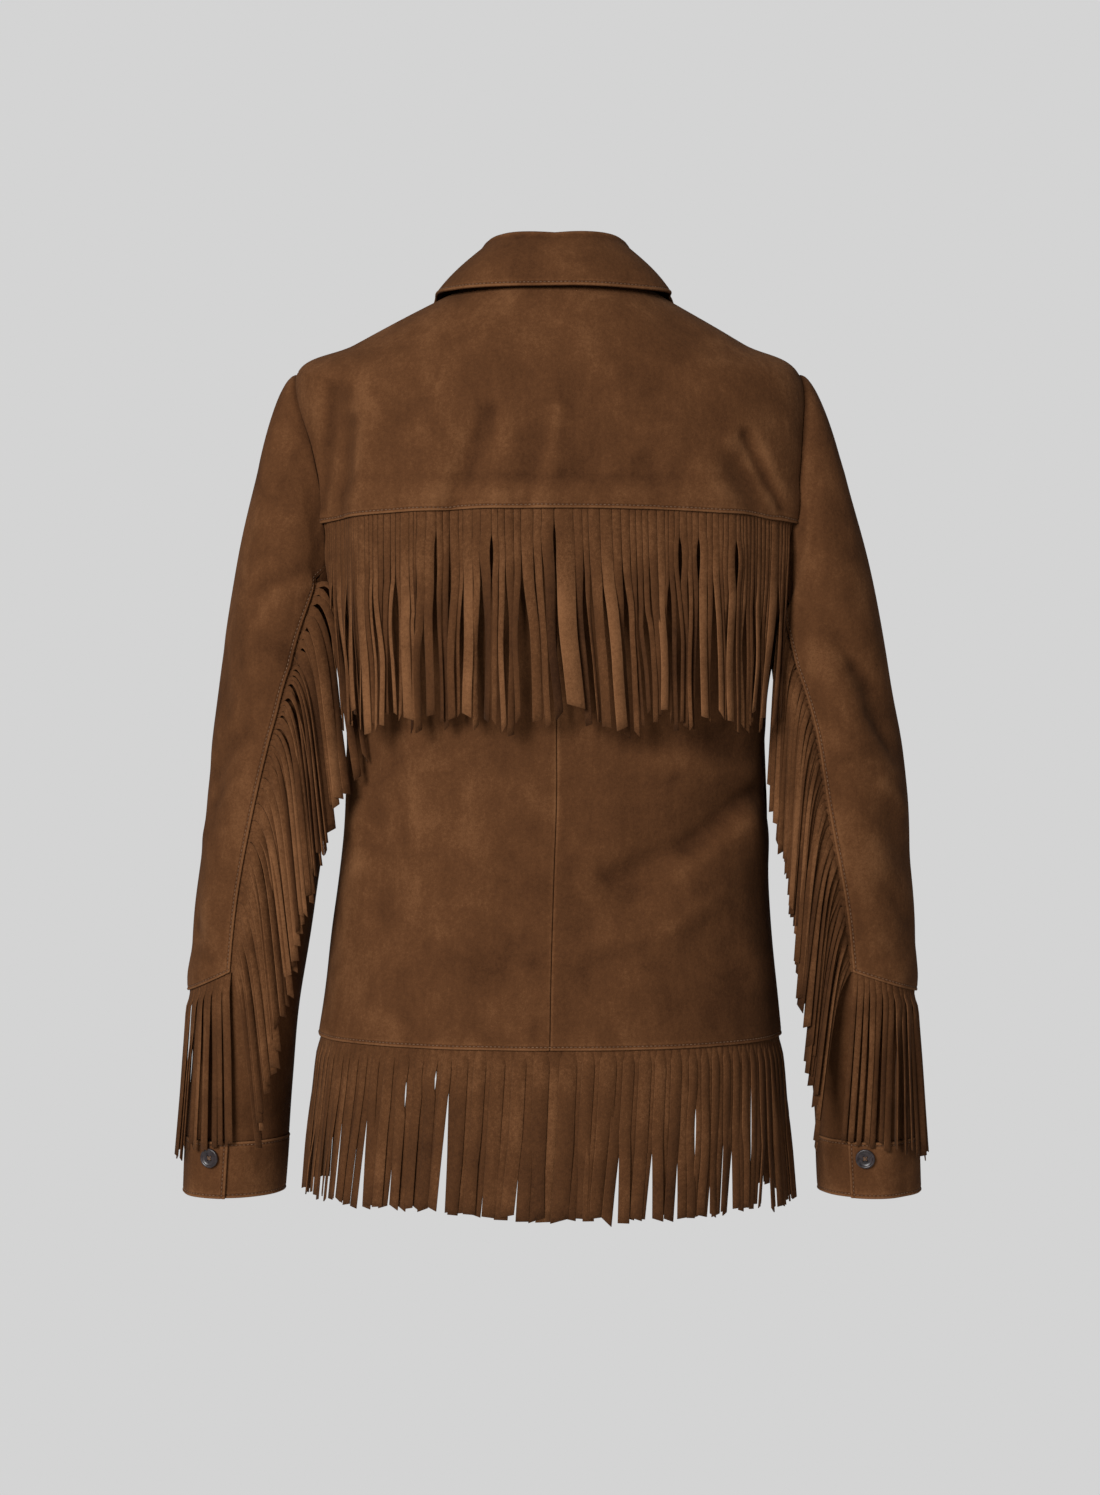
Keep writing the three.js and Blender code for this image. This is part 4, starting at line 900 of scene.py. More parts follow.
strands = Strands()
lit_strands = [round((x / YOKE_HALF + 1) / 2 * YOKE_STRANDS - 0.5) for x in YOKE_LIT]
lit = np.isin(np.arange(YOKE_STRANDS), lit_strands)
cuts = uneven_cuts(YOKE_STRANDS, 0.24, np.where(lit, 1.45, 1.0))
middles = (cuts[1:] + cuts[:-1]) / 2
lefts, rights = yoke_strip(cuts[:-1] + 0.0001, SLIT)[0], yoke_strip(cuts[1:] - 0.0001, SLIT)[0]
highers = yoke_strip(middles, SLIT - 6)[0]
outs = yoke_strip(middles, SLIT)[1]
for i in range(YOKE_STRANDS):
    x, z = (lefts[i][0] + rights[i][0]) / 2, lefts[i][2]
    long = YOKE_LONG + 4 * math.sin(i * 0.61) + 3 * math.sin(i * 1.7 + 1) + rng.normal(0, 3)
    long -= 6 * (x / YOKE_HALF) ** 2
    s = stations(long, 24)
    f = np.clip(s / long, 0, 1)
    free = smooth((s - rng.uniform(25, 55)) / rng.uniform(50, 80))
    if lit[i]:
        level = rng.uniform(3.5, 5.5)
    else:
        level = rng.uniform(-2.2, -0.8) if rng.random() < 0.33 else rng.uniform(0, 3)
    aside = np.zeros((len(s), 3))
    aside[:, 0] = (clump_shift(YOKE_GAPS, x, z - s, z - long) + np.interp(x, *YOKE_DRIFT) * f**1.4
                   + free * (rng.normal(0, 1.5) + 1.3 * np.sin(f * rng.uniform(2, 6) + rng.uniform(0, 6))))
    aside[:, 1] = -(4 * (1 - np.exp(-np.clip(s, 0, None) / 20)) + free * level + (1.2 if i % 2 else 0) * f)
    angle = rng.uniform(-24, -6) if lit[i] else rng.choice([-1, 1], p=[0.35, 0.65]) * abs(rng.normal(0, 30))
    # Painted light: the strands that face the lamp are painted paler and the strands lying back towards the
    # body are painted darker, over a random tone that varies slowly across the yoke
    painted_light_and_tone = 0.52 if lit[i] else rng.normal(-0.15, 0.3) + 0.25 * min(level, 0) + 0.12 * math.sin(0.45 * i + 1)
    tone = painted_light_and_tone * smooth((s - 10) / 70)
    hang(strands, lefts[i], rights[i], highers[i], outs[i], s, aside, np.radians(angle) * free, tone,
         rng.normal(0, 1.4), narrow=0 if lit[i] else rng.uniform(0.08, 0.34), over=80)
yoke_fringe = strands.make("yoke_fringe_strands")
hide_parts("yoke_fringe")

# The hem's fringe hangs from inside the turned hem, all across the back and round both sides.
HEM_STRANDS, HEM_PAST = 116, 26
HEM_GAPS = [
    (-131, -618, -712, 8), (-123, -652, -714, 3.5), (-112, -628, -716, 8), (-107, -604, -636, 4.5),
    (-84, -598, -622, 5), (-72, -598, -720, 9.5), (-62, -666, -722, 2.5), (-57, -672, -722, 4),
    (-42, -650, -723, 7), (-33, -662, -723, 5), (-22, -651, -723, 6), (-8, -676, -726, 3.5),
    (8, -632, -726, 6.5), (17, -655, -726, 6), (26, -655, -727, 5.5), (33, -690, -727, 3),
    (58, -648, -726, 7.5), (82, -655, -726, 7.5), (97, -645, -720, 6), (110, -620, -690, 5.5),
    (120, -676, -720, 4.5), (128, -650, -718, 3), (137, -658, -717, 6.5), (161, -662, -718, 6.5),
]
HEM_DRIFT = (
    [-190, -170, -140, -80, -40, 0, 30, 60, 85, 105, 140, 160, 175, 190],
    [-5, -7, -8.5, -7.5, -8, -5, -8, -8.5, -7, -4, -4, -2, 4, 7],
)
HEM_TIPS = (
    [-177, -164, -138, -105, -86, -60, 0, 55, 81, 100, 140, 171],
    [-699.5, -700.5, -703, -701, -702, -706, -707, -709.5, -709, -708.5, -705.5, -708],
)


def hem_strip(k, d):
    turn = -180 - HEM_PAST + (180 + 2 * HEM_PAST) * k
    p, n = body(turn, HEM + np.full(np.shape(k), d / HEM_ROW_LONG))
    return p - n * (SUEDE + LAYER_GAP + FRINGE_SUEDE / 2), n


strands = Strands()
cuts = uneven_cuts(HEM_STRANDS, 0.16)
middles = (cuts[1:] + cuts[:-1]) / 2
lefts, rights = hem_strip(cuts[:-1] - 0.0006, SLIT)[0], hem_strip(cuts[1:] + 0.0006, SLIT)[0]
highers = hem_strip(middles, SLIT - 6)[0]
outs = hem_strip(middles, SLIT)[1]
for i in range(HEM_STRANDS):
    x, z = (lefts[i][0] + rights[i][0]) / 2, lefts[i][2]
    behind = outs[i][1] < 0
    long = z - np.interp(x + np.interp(x, *HEM_DRIFT), *HEM_TIPS) + 1.5 + rng.normal(0, 1.4)
    s = stations(long, 18)
    f = np.clip(s / long, 0, 1)
    free = smooth((s - rng.uniform(20, 50)) / rng.uniform(40, 70))
    outward = np.array([outs[i][0], outs[i][1], 0]) / math.hypot(outs[i][0], outs[i][1])
    stand = (1 + 3 * (x / 180) ** 2) * (1 - np.exp(-np.clip(s, 0, None) / 20))
    stand = stand + (0.95 if i % 2 else 0) * smooth(s / 12)
    aside = outward * (stand + free * rng.uniform(-0.6, 1.6))[:, None]
    shift = clump_shift(HEM_GAPS, x, z - s, z - long) if behind else 0
    aside[:, 0] += shift + np.interp(x, *HEM_DRIFT) * f**1.1 + free * rng.normal(0, 0.35)
    angle = rng.normal(0, 26 if abs(x) > 130 else 8)
    tone = np.clip(rng.normal(-0.12, 0.16), -0.5, 0.3) * smooth((s - 5) / 40)
    hang(strands, lefts[i], rights[i], highers[i], outs[i], s, aside, np.radians(angle) * free, tone,
         rng.normal(0, 1.0), narrow=rng.uniform(-0.22, -0.1), over=1)
hem_fringe = strands.make("hem_fringe_strands")
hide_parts("hem_fringe")

# The sleeves' fringes leave the hind seam inwards, some standing up in a small hook, and fall nearly
# straight, leaning to the body. Others hang round the cross seam.
HIND_HANG = {
    "left": {"bow": [12, 13, 12, 11, 9], "lean": [12, 12, 12, 13, 13]},
    "right": {"bow": [7, 8, 9, 11, 12], "lean": [5, 6, 8, 12, 15]},
}
# Where along the seam the strands hook, and where they lie flat in wide clumps
HOOKED = {"left": [(0.0, 0.36)], "right": [(0.0, 0.18), (0.76, 0.94)]}
CLUMPED = {"left": (0.36, 0.68), "right": (0.3, 0.62)}
# How much further the topmost strands lean and bow inwards
TOP_LEAN, TOP_BOW = {"left": 9.5, "right": 2.5}, {"left": 0.45, "right": 0.1}
CROSS_SWING = {"left": 22, "right": 28}
HIND_STRANDS, CROSS_STRANDS, SLEEVE_LONG, STRIP_START, SLEEVE_GAP = 49, 34, 138, 0.055, 0.9
for side in ("left", "right"):
    sign = sign_of(side)

    def sleeve_strip(u, v, drop, down):
        u, v = np.broadcast_arrays(np.asarray(u, float), np.asarray(v, float))
        p = outer_surface(side, u, v)[0]
        du = np.linalg.norm(p - outer_surface(side, u - 0.03, v)[0], axis=-1)
        dv = np.linalg.norm(p - outer_surface(side, u, v - 0.015)[0], axis=-1)
        q, m = outer_surface(side, u + drop * (1 - down) * 0.03 / du, v + drop * down * 0.015 / dv)
        return q + m * (SLEEVE_GAP + FRINGE_SUEDE / 2), m

    strands = Strands()
    cuts = STRIP_START + (1 - STRIP_START) * uneven_cuts(HIND_STRANDS, 0.15)
    middles = (cuts[1:] + cuts[:-1]) / 2
    lefts, rights = sleeve_strip(1, cuts[:-1], 2, 0)[0], sleeve_strip(1, cuts[1:], 2, 0)[0]
    highers, outs = sleeve_strip(1, middles, -4, 0)[0], sleeve_strip(1, middles, 2, 0)[1]
    for i in range(HIND_STRANDS):
        share = (i + 0.5) / HIND_STRANDS
        hooked = any(a < share < b for a, b in HOOKED[side])
        clumped = CLUMPED[side][0] < share < CLUMPED[side][1]
        tilt = rng.uniform(38, 66) if hooked and rng.random() < 0.8 else rng.uniform(4, 30)
        tilt = (tilt if hooked or clumped or rng.random() < 0.6 else rng.uniform(30, 65)) * DEG
        bow, lean = (float(along(HIND_HANG[side], key, share * 4)) for key in ("bow", "lean"))
        long = SLEEVE_LONG + 3 * math.sin(i * 0.7) + 2 * math.sin(i * 1.6 + 1) + rng.normal(0, 3)
        s = np.concatenate([[-5, -2.5], np.linspace(0, 1, 24) ** 1.5 * long])
        bow *= rng.uniform(0.75, 1.2) + max(0, TOP_BOW[side] - 3 * share)
        lean += max(0, TOP_LEAN[side] - 60 * share)
        tilt = min(tilt, 26 * DEG) if share < 0.14 else tilt
        out_by = np.array([-sign * bow, -rng.uniform(6, 12), 0])
        aside = out_by * (1 - np.exp(-np.clip(s, 0, None) / (13 + 8 * share)))[:, None]
        wander = np.array([-sign * lean + rng.normal(0, 1.2), 2 + rng.normal(0, 1.2), 0])
        aside = aside + wander * (np.clip(s / long, 0, 1) ** 1.1)[:, None]
        goal = np.array([sign * math.cos(tilt), -math.sin(tilt), 0])
        longest = side == "left" and i == HIND_STRANDS - 3
        lit = longest or rng.random() < (0.4 if clumped else 0.12)
        tilt = 4 * DEG if longest else tilt
        # Painted highlight: the strands that catch the light are painted paler; the others take a random tone
        tone = (0.4 if lit else np.clip(rng.normal(-0.16, 0.2), -0.6, 0.3)) * smooth((s - 8) / 40)
        turn = math.radians(rng.normal(0, 7)) * smooth((s - 30) / 80)
        hang(strands, lefts[i], rights[i], highers[i], outs[i], s, aside, turn, tone, rng.normal(0, 1.2),
             goal=goal, narrow=0.12 if clumped else 0.22,
             rise=rng.uniform(2.5, 4.5) if hooked else 0.8, over=9)
    cuts = 1 - 0.97 * uneven_cuts(CROSS_STRANDS, 0.15)
    middles = (cuts[1:] + cuts[:-1]) / 2
    lefts, rights = sleeve_strip(cuts[:-1], 1, 2, 1)[0], sleeve_strip(cuts[1:], 1, 2, 1)[0]
    highers, outs = sleeve_strip(middles, 1, -4, 1)[0], sleeve_strip(middles, 1, 2, 1)[1]
    turns = FORE_SEAM + (float(hind_turn(side, CROSS_HIND)) - FORE_SEAM) * middles
    swings = CROSS_SWING[side] * np.clip(turns / float(hind_turn(side, CROSS_HIND)), 0, 1)
    below = sleeve_point(side, turns + swings, CUFF_END) - sleeve_point(side, turns, cross_row(side, turns))
    for i in range(CROSS_STRANDS):
        long = SLEEVE_LONG - 12 + 2 * math.sin(i * 0.7) + 2 * math.sin(i * 1.6 + 1) + rng.normal(0, 2.5)
        s = stations(long, 20)
        f = np.clip(s / long, 0, 1)
        free = smooth((s - 8) / 60)
        outward = np.array([outs[i][0], outs[i][1], 0]) / math.hypot(outs[i][0], outs[i][1])
        seam = (rights[i] - lefts[i]) / np.linalg.norm(rights[i] - lefts[i])
        clear = 1 + 2.5 * float(smooth((turns[i] - 5) / 30)) + rng.uniform(0, 2.0)
        lean = below[i] * [1, 1, 0] + outward * clear
        stand = 1.0 + (1.2 if i % 2 else 0) + 0.09 * swings[i]
        aside = (lean * (f**1.1)[:, None] + outward * (stand * smooth(s / 14))[:, None]
                 + seam * (rng.normal(0, 0.8) * free)[:, None])
        angle = rng.choice([-1, 1]) * rng.uniform(40, 70) if rng.random() < 0.15 else rng.normal(0, 14)
        tone = np.clip(rng.normal(-0.14, 0.25), -0.6, 0.5) * smooth((s - 8) / 50)
        hang(strands, lefts[i], rights[i], highers[i], outs[i], s, aside, np.radians(angle) * free, tone,
             rng.normal(0, 1.2), narrow=rng.uniform(-0.06, 0.14))
    strands.make(f"sleeve_fringe_strands_{side}")
    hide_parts(f"sleeve_fringe_{side}")

# The seam allowances: at each plain seam both edges are turned in and pressed open behind it, about
# 8 mm a side. Their widths are a share of the back's width, and degrees round the body and the sleeve.
PRESSED = 1.0
BACK_ALLOWANCE, BODY_ALLOWANCE, SLEEVE_ALLOWANCE = 0.021, 6, 19


def allowance(name, surface):
    behind = lambda u, v: np.full(np.shape(u), -SUEDE - 0.3)
    obj = panel(name, surface, set(), step=4, lift=behind, thick=PRESSED)[0]
    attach(obj, "root")
    return obj


def rows(v, start, stop):
    return start + (stop - start) * v


def back_allowance_surface(u, v):
    return back_surface(0.5 + BACK_ALLOWANCE * (u - 0.5), rows(v, YOKE - LAP_ROWS, HEM - 0.03))


def shoulder_allowance_surface(side, u, v):
    return body(on_side(side, SHOULDER_SEAM + BODY_ALLOWANCE * (u - 0.5)), rows(v, 0.05, TIP - 0.1))


def side_allowance_surface(side, u, v):
    return body(on_side(side, BODY_ALLOWANCE * (u - 0.5)), rows(v, ARMPIT + 0.1, HEM - 0.03))


def fore_allowance_surface(side, u, v):
    return sleeve(side, FORE_SEAM + SLEEVE_ALLOWANCE * (u - 0.5), rows(v, 0.25, CROSS_HIND - 0.2))


back_allowance = allowance("back_seam_allowance", back_allowance_surface)
SIDE_ALLOWANCES = {
    "shoulder": shoulder_allowance_surface, "side": side_allowance_surface, "fore": fore_allowance_surface,
}
allowances = {
    side: [allowance(f"{seam}_seam_allowance_{side}", lambda u, v, surface=surface: surface(side, u, v))
           for seam, surface in SIDE_ALLOWANCES.items()]
    for side in ("left", "right")
}

# The topstitching: a bonded thread a little paler than the suede, about eight stitches to the inch,
# beside every turned edge.
def thread_material():
    made = bpy.data.materials.new("topstitching thread")
    made.use_nodes = True
    nodes, links = made.node_tree.nodes, made.node_tree.links
    shader = nodes["Principled BSDF"]
    place = nodes.new("ShaderNodeTexCoord")
    noise = nodes.new("ShaderNodeTexNoise")
    noise.inputs["Scale"].default_value = 260
    ramp = nodes.new("ShaderNodeValToRGB")
    ramp.color_ramp.elements[0].position = 0.3
    ramp.color_ramp.elements[0].color = (0.09, 0.043, 0.019, 1)
    ramp.color_ramp.elements[1].position = 0.7
    ramp.color_ramp.elements[1].color = (0.19, 0.1, 0.05, 1)
    links.new(place.outputs["Object"], noise.inputs["Vector"])
    links.new(noise.outputs["Fac"], ramp.inputs["Fac"])
    links.new(ramp.outputs["Color"], shader.inputs["Base Color"])
    shader.inputs["Roughness"].default_value = 0.7
    return made


THREAD = thread_material()


def stitch_tree():
    tree = bpy.data.node_groups.new("run of stitches", "GeometryNodeTree")
    socket(tree, "Geometry", "NodeSocketGeometry", "INPUT")
    socket(tree, "Pitch", "NodeSocketFloat", "INPUT", 0.0031)
    socket(tree, "Stitch length", "NodeSocketFloat", "INPUT", 0.0023)
    socket(tree, "Thread", "NodeSocketFloat", "INPUT", 0.0007)
    socket(tree, "Material", "NodeSocketMaterial", "INPUT")
    socket(tree, "Geometry", "NodeSocketGeometry", "OUTPUT")
    nodes, links = tree.nodes, tree.links
    given, out = nodes.new("NodeGroupInput"), nodes.new("NodeGroupOutput")
    to_curve = nodes.new("GeometryNodeMeshToCurve")
    even = nodes.new("GeometryNodeResampleCurve")
    even.mode = "LENGTH"
    stitch = nodes.new("GeometryNodeMeshUVSphere")
    stitch.inputs["Segments"].default_value = 6
    stitch.inputs["Rings"].default_value = 4
    stitch.inputs["Radius"].default_value = 0.5
    size = nodes.new("ShaderNodeCombineXYZ")
    links.new(given.outputs["Stitch length"], size.inputs["X"])
    links.new(given.outputs["Thread"], size.inputs["Y"])
    links.new(given.outputs["Thread"], size.inputs["Z"])
    facing = nodes.new("GeometryNodeInputNamedAttribute")
    facing.data_type = "FLOAT_VECTOR"
    facing.inputs["Name"].default_value = "out"
    tangent = nodes.new("GeometryNodeInputTangent")
    axes = nodes.new("FunctionNodeAxesToRotation")
    axes.primary_axis = "X"
    axes.secondary_axis = "Z"
    place = nodes.new("GeometryNodeInstanceOnPoints")
    real = nodes.new("GeometryNodeRealizeInstances")
    paint = nodes.new("GeometryNodeSetMaterial")
    links.new(given.outputs["Geometry"], to_curve.inputs["Mesh"])
    links.new(to_curve.outputs["Curve"], even.inputs["Curve"])
    links.new(given.outputs["Pitch"], even.inputs["Length"])
    links.new(even.outputs["Curve"], place.inputs["Points"])
    links.new(stitch.outputs["Mesh"], place.inputs["Instance"])
    links.new(tangent.outputs["Tangent"], axes.inputs[0])
    links.new(facing.outputs["Attribute"], axes.inputs[1])
    links.new(axes.outputs["Rotation"], place.inputs["Rotation"])
    links.new(size.outputs["Vector"], place.inputs["Scale"])
    links.new(place.outputs["Instances"], real.inputs["Geometry"])
    links.new(real.outputs["Geometry"], paint.inputs["Geometry"])
    links.new(given.outputs["Material"], paint.inputs["Material"])
    links.new(paint.outputs["Geometry"], out.inputs["Geometry"])
    return tree


STITCHES = stitch_tree()


def stitched(name, runs, pitch=3.1):
    """Stitches along runs of (points, normals)."""
    points, edges, outs = [], [], []
    for p, n in runs:
        start = len(points)
        points += [tuple(q) for q in p * 0.001]
        outs += list(n)
        edges += [(start + k, start + k + 1) for k in range(len(p) - 1)]
    mesh = bpy.data.meshes.new(name)
    mesh.from_pydata(points, edges, [])
    facing = mesh.attributes.new("out", "FLOAT_VECTOR", "POINT")
    facing.data.foreach_set("vector", np.asarray(outs, np.float32).ravel())
    lines = bpy.data.objects.new(name + "_lines", mesh)
    bpy.context.scene.collection.objects.link(lines)
    nodes = lines.modifiers.new("stitches", "NODES")
    nodes.node_group = STITCHES
    sockets = {item.name: item.identifier for item in STITCHES.interface.items_tree if item.in_out == "INPUT"}
    nodes[sockets["Pitch"]] = pitch * 0.001
    nodes[sockets["Stitch length"]] = pitch * 0.00074
    nodes[sockets["Thread"]] = 0.00075
    nodes[sockets["Material"]] = THREAD
    made = bpy.data.meshes.new_from_object(lines.evaluated_get(bpy.context.evaluated_depsgraph_get()))
    bpy.data.objects.remove(lines)
    obj = bpy.data.objects.new(name, made)
    obj.data.shade_smooth()
    bpy.context.scene.collection.objects.link(obj)
    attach(obj, "root")
    return obj


def run_along(piece, edge, which=STITCHED, clear=0.1, skip=(0, 0)):
    """The stitch line beside one edge of a panel, just proud of its face."""
    _, face, out = piece
    pick = {"left": (slice(None), which), "right": (slice(None), -1 - which),
            "top": (which, slice(None)), "bottom": (-1 - which, slice(None))}[edge]
    p, n = face[pick], out[pick]
    stop = len(p) - skip[1]
    return p[skip[0]:stop] + n[skip[0]:stop] * clear, n[skip[0]:stop]


yoke_stitches = stitched("yoke_stitches", [run_along((yoke, yoke_face, yoke_out), "bottom")])
back_stitches = stitched("back_stitches", [
    run_along(backs["left"], "bottom"), run_along(backs["right"], "bottom"),
])
front_stitches = stitched("front_stitches", [
    run for side in ("left", "right")
    for run in (run_along(fronts[side], "left", skip=(STITCHED, STITCHED)),
                run_along(fronts[side], "bottom", skip=(STITCHED, 0)))
])
collar_stitches = stitched("collar_stitches", [
    run_along((collar, collar_face, collar_out), "bottom", skip=(STITCHED, STITCHED)),
    run_along((collar, collar_face, collar_out), "left", skip=(0, STITCHED)),
    run_along((collar, collar_face, collar_out), "right", skip=(0, STITCHED)),
])
sleeve_stitches, cuff_stitches = {}, {}
for side in ("left", "right"):
    sleeve_stitches[side] = stitched(f"sleeve_stitches_{side}", [
        run_along(sleeves[side]["outer"], "right", skip=(0, STITCHED)),
        run_along(sleeves[side]["outer"], "bottom", skip=(0, STITCHED)),
    ])
    cuff_stitches[side] = stitched(f"cuff_stitches_{side}", [
        run_along(cuffs[side], "left", skip=(STITCHED, STITCHED)),
        run_along(cuffs[side], "top", skip=(STITCHED, 0)),
        run_along(cuffs[side], "bottom", skip=(STITCHED, 0)),
    ])

# The buttons: dark polished horn with a raised rim and four holes, sewn on with a crossed thread.
def horn_material():
    made = bpy.data.materials.new("dark horn")
    made.use_nodes = True
    nodes, links = made.node_tree.nodes, made.node_tree.links
    shader = nodes["Principled BSDF"]
    place = nodes.new("ShaderNodeTexCoord")
    noise = nodes.new("ShaderNodeTexNoise")
    noise.inputs["Scale"].default_value = 130
    noise.inputs["Detail"].default_value = 4
    noise.inputs["Distortion"].default_value = 1.6
    ramp = nodes.new("ShaderNodeValToRGB")
    ramp.color_ramp.elements[0].position = 0.35
    ramp.color_ramp.elements[0].color = (0.012, 0.009, 0.01, 1)
    ramp.color_ramp.elements[1].position = 0.75
    ramp.color_ramp.elements[1].color = (0.05, 0.035, 0.036, 1)
    rough = nodes.new("ShaderNodeMapRange")
    rough.inputs["To Min"].default_value = 0.24
    rough.inputs["To Max"].default_value = 0.42
    links.new(place.outputs["Object"], noise.inputs["Vector"])
    links.new(noise.outputs["Fac"], ramp.inputs["Fac"])
    links.new(noise.outputs["Fac"], rough.inputs["Value"])
    links.new(ramp.outputs["Color"], shader.inputs["Base Color"])
    links.new(rough.outputs["Result"], shader.inputs["Roughness"])
    return made


HORN = horn_material()
BUTTON_WIDE, BUTTON_THICK, SEAM_GAP, CUFF_BUTTON = 15, 3, 0.3, 18
HOLE_OFF, HOLE_WIDE, THREAD_HALF = 1.35, 1.5, 0.3


def button_mesh():
    """A turned disc with four drilled holes, standing on z = 0, in millimetres."""
    r, h = BUTTON_WIDE / 2, BUTTON_THICK
    # From the middle of the back, round the rim, to the middle of the dished front
    shares = [(0, 0), (0.74, 0), (0.9, 0.12), (0.985, 0.38), (1, 0.6), (0.98, 0.84), (0.93, 0.97), (0.87, 1),
              (0.8, 0.95), (0.74, 0.8), (0.66, 0.68), (0.5, 0.62), (0, 0.6)]
    profile = [(r * a, h * b) for a, b in shares]
    count = 32
    points, faces = [(0, 0, profile[0][1])], []
    for radius, z in profile[1:-1]:
        points += [(radius * math.cos(a), radius * math.sin(a), z)
                   for a in (2 * math.pi * k / count for k in range(count))]
    points.append((0, 0, profile[-1][1]))
    rings = len(profile) - 2
    at = lambda ring, k: 1 + ring * count + k % count
    for k in range(count):
        faces.append((0, at(0, k + 1), at(0, k)))
        faces.append((len(points) - 1, at(rings - 1, k), at(rings - 1, k + 1)))
        faces += [(at(j, k), at(j, k + 1), at(j + 1, k + 1), at(j + 1, k)) for j in range(rings - 1)]
    disc = bpy.data.objects.new("disc", bpy.data.meshes.new("disc"))
    disc.data.from_pydata(points, [], faces)
    bpy.context.scene.collection.objects.link(disc)
    drills = []
    for x, y in ((HOLE_OFF, HOLE_OFF), (-HOLE_OFF, HOLE_OFF), (-HOLE_OFF, -HOLE_OFF), (HOLE_OFF, -HOLE_OFF)):
        ring = [(x + HOLE_WIDE / 2 * math.cos(a), y + HOLE_WIDE / 2 * math.sin(a))
                for a in (2 * math.pi * k / 12 for k in range(12))]
        mesh = bpy.data.meshes.new("drill")
        mesh.from_pydata([(a, b, -1) for a, b in ring] + [(a, b, 5) for a, b in ring], [],
                         [tuple(range(11, -1, -1)), tuple(range(12, 24))]
                         + [(k, (k + 1) % 12, 12 + (k + 1) % 12, 12 + k) for k in range(12)])
        drill = bpy.data.objects.new("drill", mesh)
        bpy.context.scene.collection.objects.link(drill)
        cut = disc.modifiers.new("hole", "BOOLEAN")
        cut.operation = "DIFFERENCE"
        cut.object = drill
        cut.solver = "EXACT"
        drills.append(drill)
    mesh = bpy.data.meshes.new_from_object(disc.evaluated_get(bpy.context.evaluated_depsgraph_get()))
    for thing in [disc, *drills]:
        bpy.data.objects.remove(thing)
    return mesh


BUTTON = button_mesh()
BUTTON_POINTS = np.array([v.co for v in BUTTON.vertices])
BUTTON_FACES = [list(f.vertices) for f in BUTTON.polygons]


def sew_button(node, centre, out):
    out = out / np.linalg.norm(out)
    side_ = np.cross([0, 0, 1.0], out)
    side_ /= np.linalg.norm(side_)
    up = np.cross(out, side_)
    turn = np.stack([side_, up, out])
    obj = mesh_object(node + "_horn", centre + BUTTON_POINTS @ turn, BUTTON_FACES, HORN)
    obj.data.shade_smooth()
    obj.data.set_sharp_from_angle(angle=math.radians(40))
    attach(obj, "root")
    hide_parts(node)
    # Two bars of thread that cross from hole to hole
    points, faces = [], []
    for a in ((-HOLE_OFF, -HOLE_OFF), (-HOLE_OFF, HOLE_OFF)):
        b = (-a[0], -a[1])
        for shift in (-0.28, 0.28):
            way = np.array([b[0] - a[0], b[1] - a[1]]) / math.hypot(b[0] - a[0], b[1] - a[1])
            aside = np.array([-way[1], way[0]])
            start = len(points)
            for k in range(9):
                f = k / 8
                x, y = np.array(a) + (np.array(b) - a) * f + aside * shift
                z = 0.6 * BUTTON_THICK + 0.55 * math.sin(f * math.pi) ** 0.5 - 0.35 + (0.3 if a[1] > 0 else 0)
                for j in range(6):
                    angle = j * math.pi / 3
                    off, up_by = THREAD_HALF * math.cos(angle), THREAD_HALF * math.sin(angle)
                    points.append((x + aside[0] * off, y + aside[1] * off, z + up_by))
            last = len(points) - 6
            for ring in range(start, last, 6):
                for j in range(6):
                    after = (j + 1) % 6
                    faces.append((ring + j, ring + after, ring + 6 + after, ring + 6 + j))
            faces.append(tuple(start + j for j in range(5, -1, -1)))
            faces.append(tuple(last + j for j in range(6)))
    thread = mesh_object(node + "_thread", centre + np.array(points) @ turn, faces, THREAD)
    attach(thread, "root")
    return obj, thread


FIRST_BUTTON, LAST_BUTTON, CUFF_BUTTON_ROW = 0.6, HEM - 1.1, CUFF_TOP + 0.28
button_pieces = []
for side in ("left", "right"):
    p, n = sleeve(side, np.float64(CUFF_LAP[side] - CUFF_BUTTON), np.float64(CUFF_BUTTON_ROW))
    stand = CUFF_STAND + CUFF_THICK + LAYER_GAP + SEAM_GAP
    button_pieces += sew_button(f"cuff_button_{side}", p + n * stand, n)
for k in range(5):
    at = FIRST_BUTTON + (LAST_BUTTON - FIRST_BUTTON) * k / 4
    p, n = body(np.float64(90), np.float64(at))
    button_pieces += sew_button(f"front_button_{k + 1}", p + n * (FRONT_RAISE + 2 * SEAM_GAP), n)
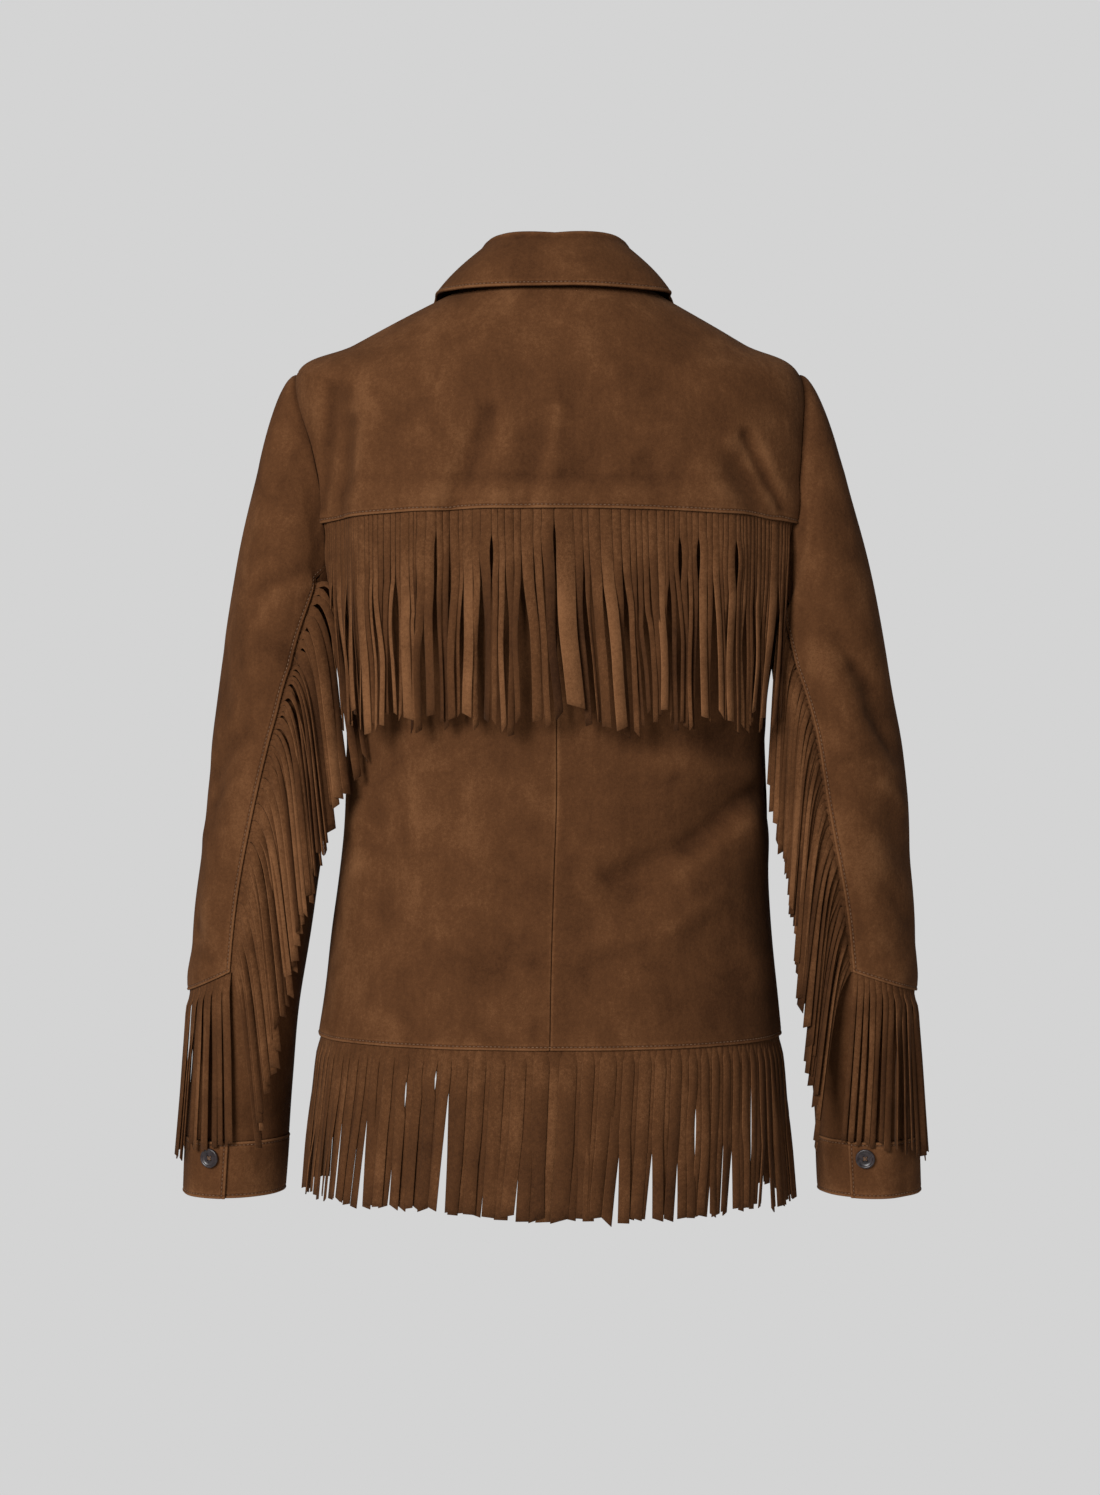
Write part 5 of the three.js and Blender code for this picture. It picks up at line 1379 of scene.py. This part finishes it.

for side in ("left", "right"):
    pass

# The studio: an even pale backdrop, a round pale floor below, one broad soft light from the upper left,
# a little behind the camera, and a weak one from the right.
def plain(name, colour):
    made = bpy.data.materials.new(name)
    made.use_nodes = True
    made.node_tree.nodes["Principled BSDF"].inputs["Base Color"].default_value = (*colour, 1)
    made.node_tree.nodes["Principled BSDF"].inputs["Roughness"].default_value = 0.9
    made.node_tree.nodes["Principled BSDF"].inputs["Specular IOR Level"].default_value = 0.0
    return made


FLOOR, FLOOR_WIDE = -1.3, 1.15
ring = [(FLOOR_WIDE * math.cos(a) * 1000, FLOOR_WIDE * math.sin(a) * 1000, FLOOR * 1000)
        for a in np.linspace(0, 2 * math.pi, 64, endpoint=False)]
floor = mesh_object("floor", ring, [list(range(64))], plain("studio paper", (0.85, 0.85, 0.85)))

# The backdrop looks pale to the camera, and sheds only a weak light on the jacket
world = bpy.data.worlds.new("studio")
world.use_nodes = True
nodes, links = world.node_tree.nodes, world.node_tree.links
seen = nodes["Background"]
seen.inputs["Color"].default_value = (1, 1, 1, 1)
seen.inputs["Strength"].default_value = 0.658
shed = nodes.new("ShaderNodeBackground")
shed.inputs["Color"].default_value = (1, 1, 1, 1)
shed.inputs["Strength"].default_value = 0.24
ray = nodes.new("ShaderNodeLightPath")
either = nodes.new("ShaderNodeMixShader")
links.new(ray.outputs["Is Camera Ray"], either.inputs["Fac"])
links.new(shed.outputs["Background"], either.inputs[1])
links.new(seen.outputs["Background"], either.inputs[2])
links.new(either.outputs["Shader"], nodes["World Output"].inputs["Surface"])
bpy.context.scene.world = world


def lamp(name, place, aim, size, watts):
    light = bpy.data.lights.new(name, "AREA")
    light.shape = "RECTANGLE"
    light.size, light.size_y = size
    light.energy = watts
    obj = bpy.data.objects.new(name, light)
    obj.location = place
    obj.rotation_euler = (Vector(aim) - Vector(place)).to_track_quat("-Z", "Y").to_euler()
    bpy.context.scene.collection.objects.link(obj)


lamp("key", (-1.35, -2.7, 0.6), (0, 0, -0.38), (1.2, 1.2), 101)
lamp("fill", (1.6, -2.6, 0.0), (0, 0, -0.4), (1.6, 1.6), 3)
bpy.context.scene.view_settings.view_transform = "Standard"
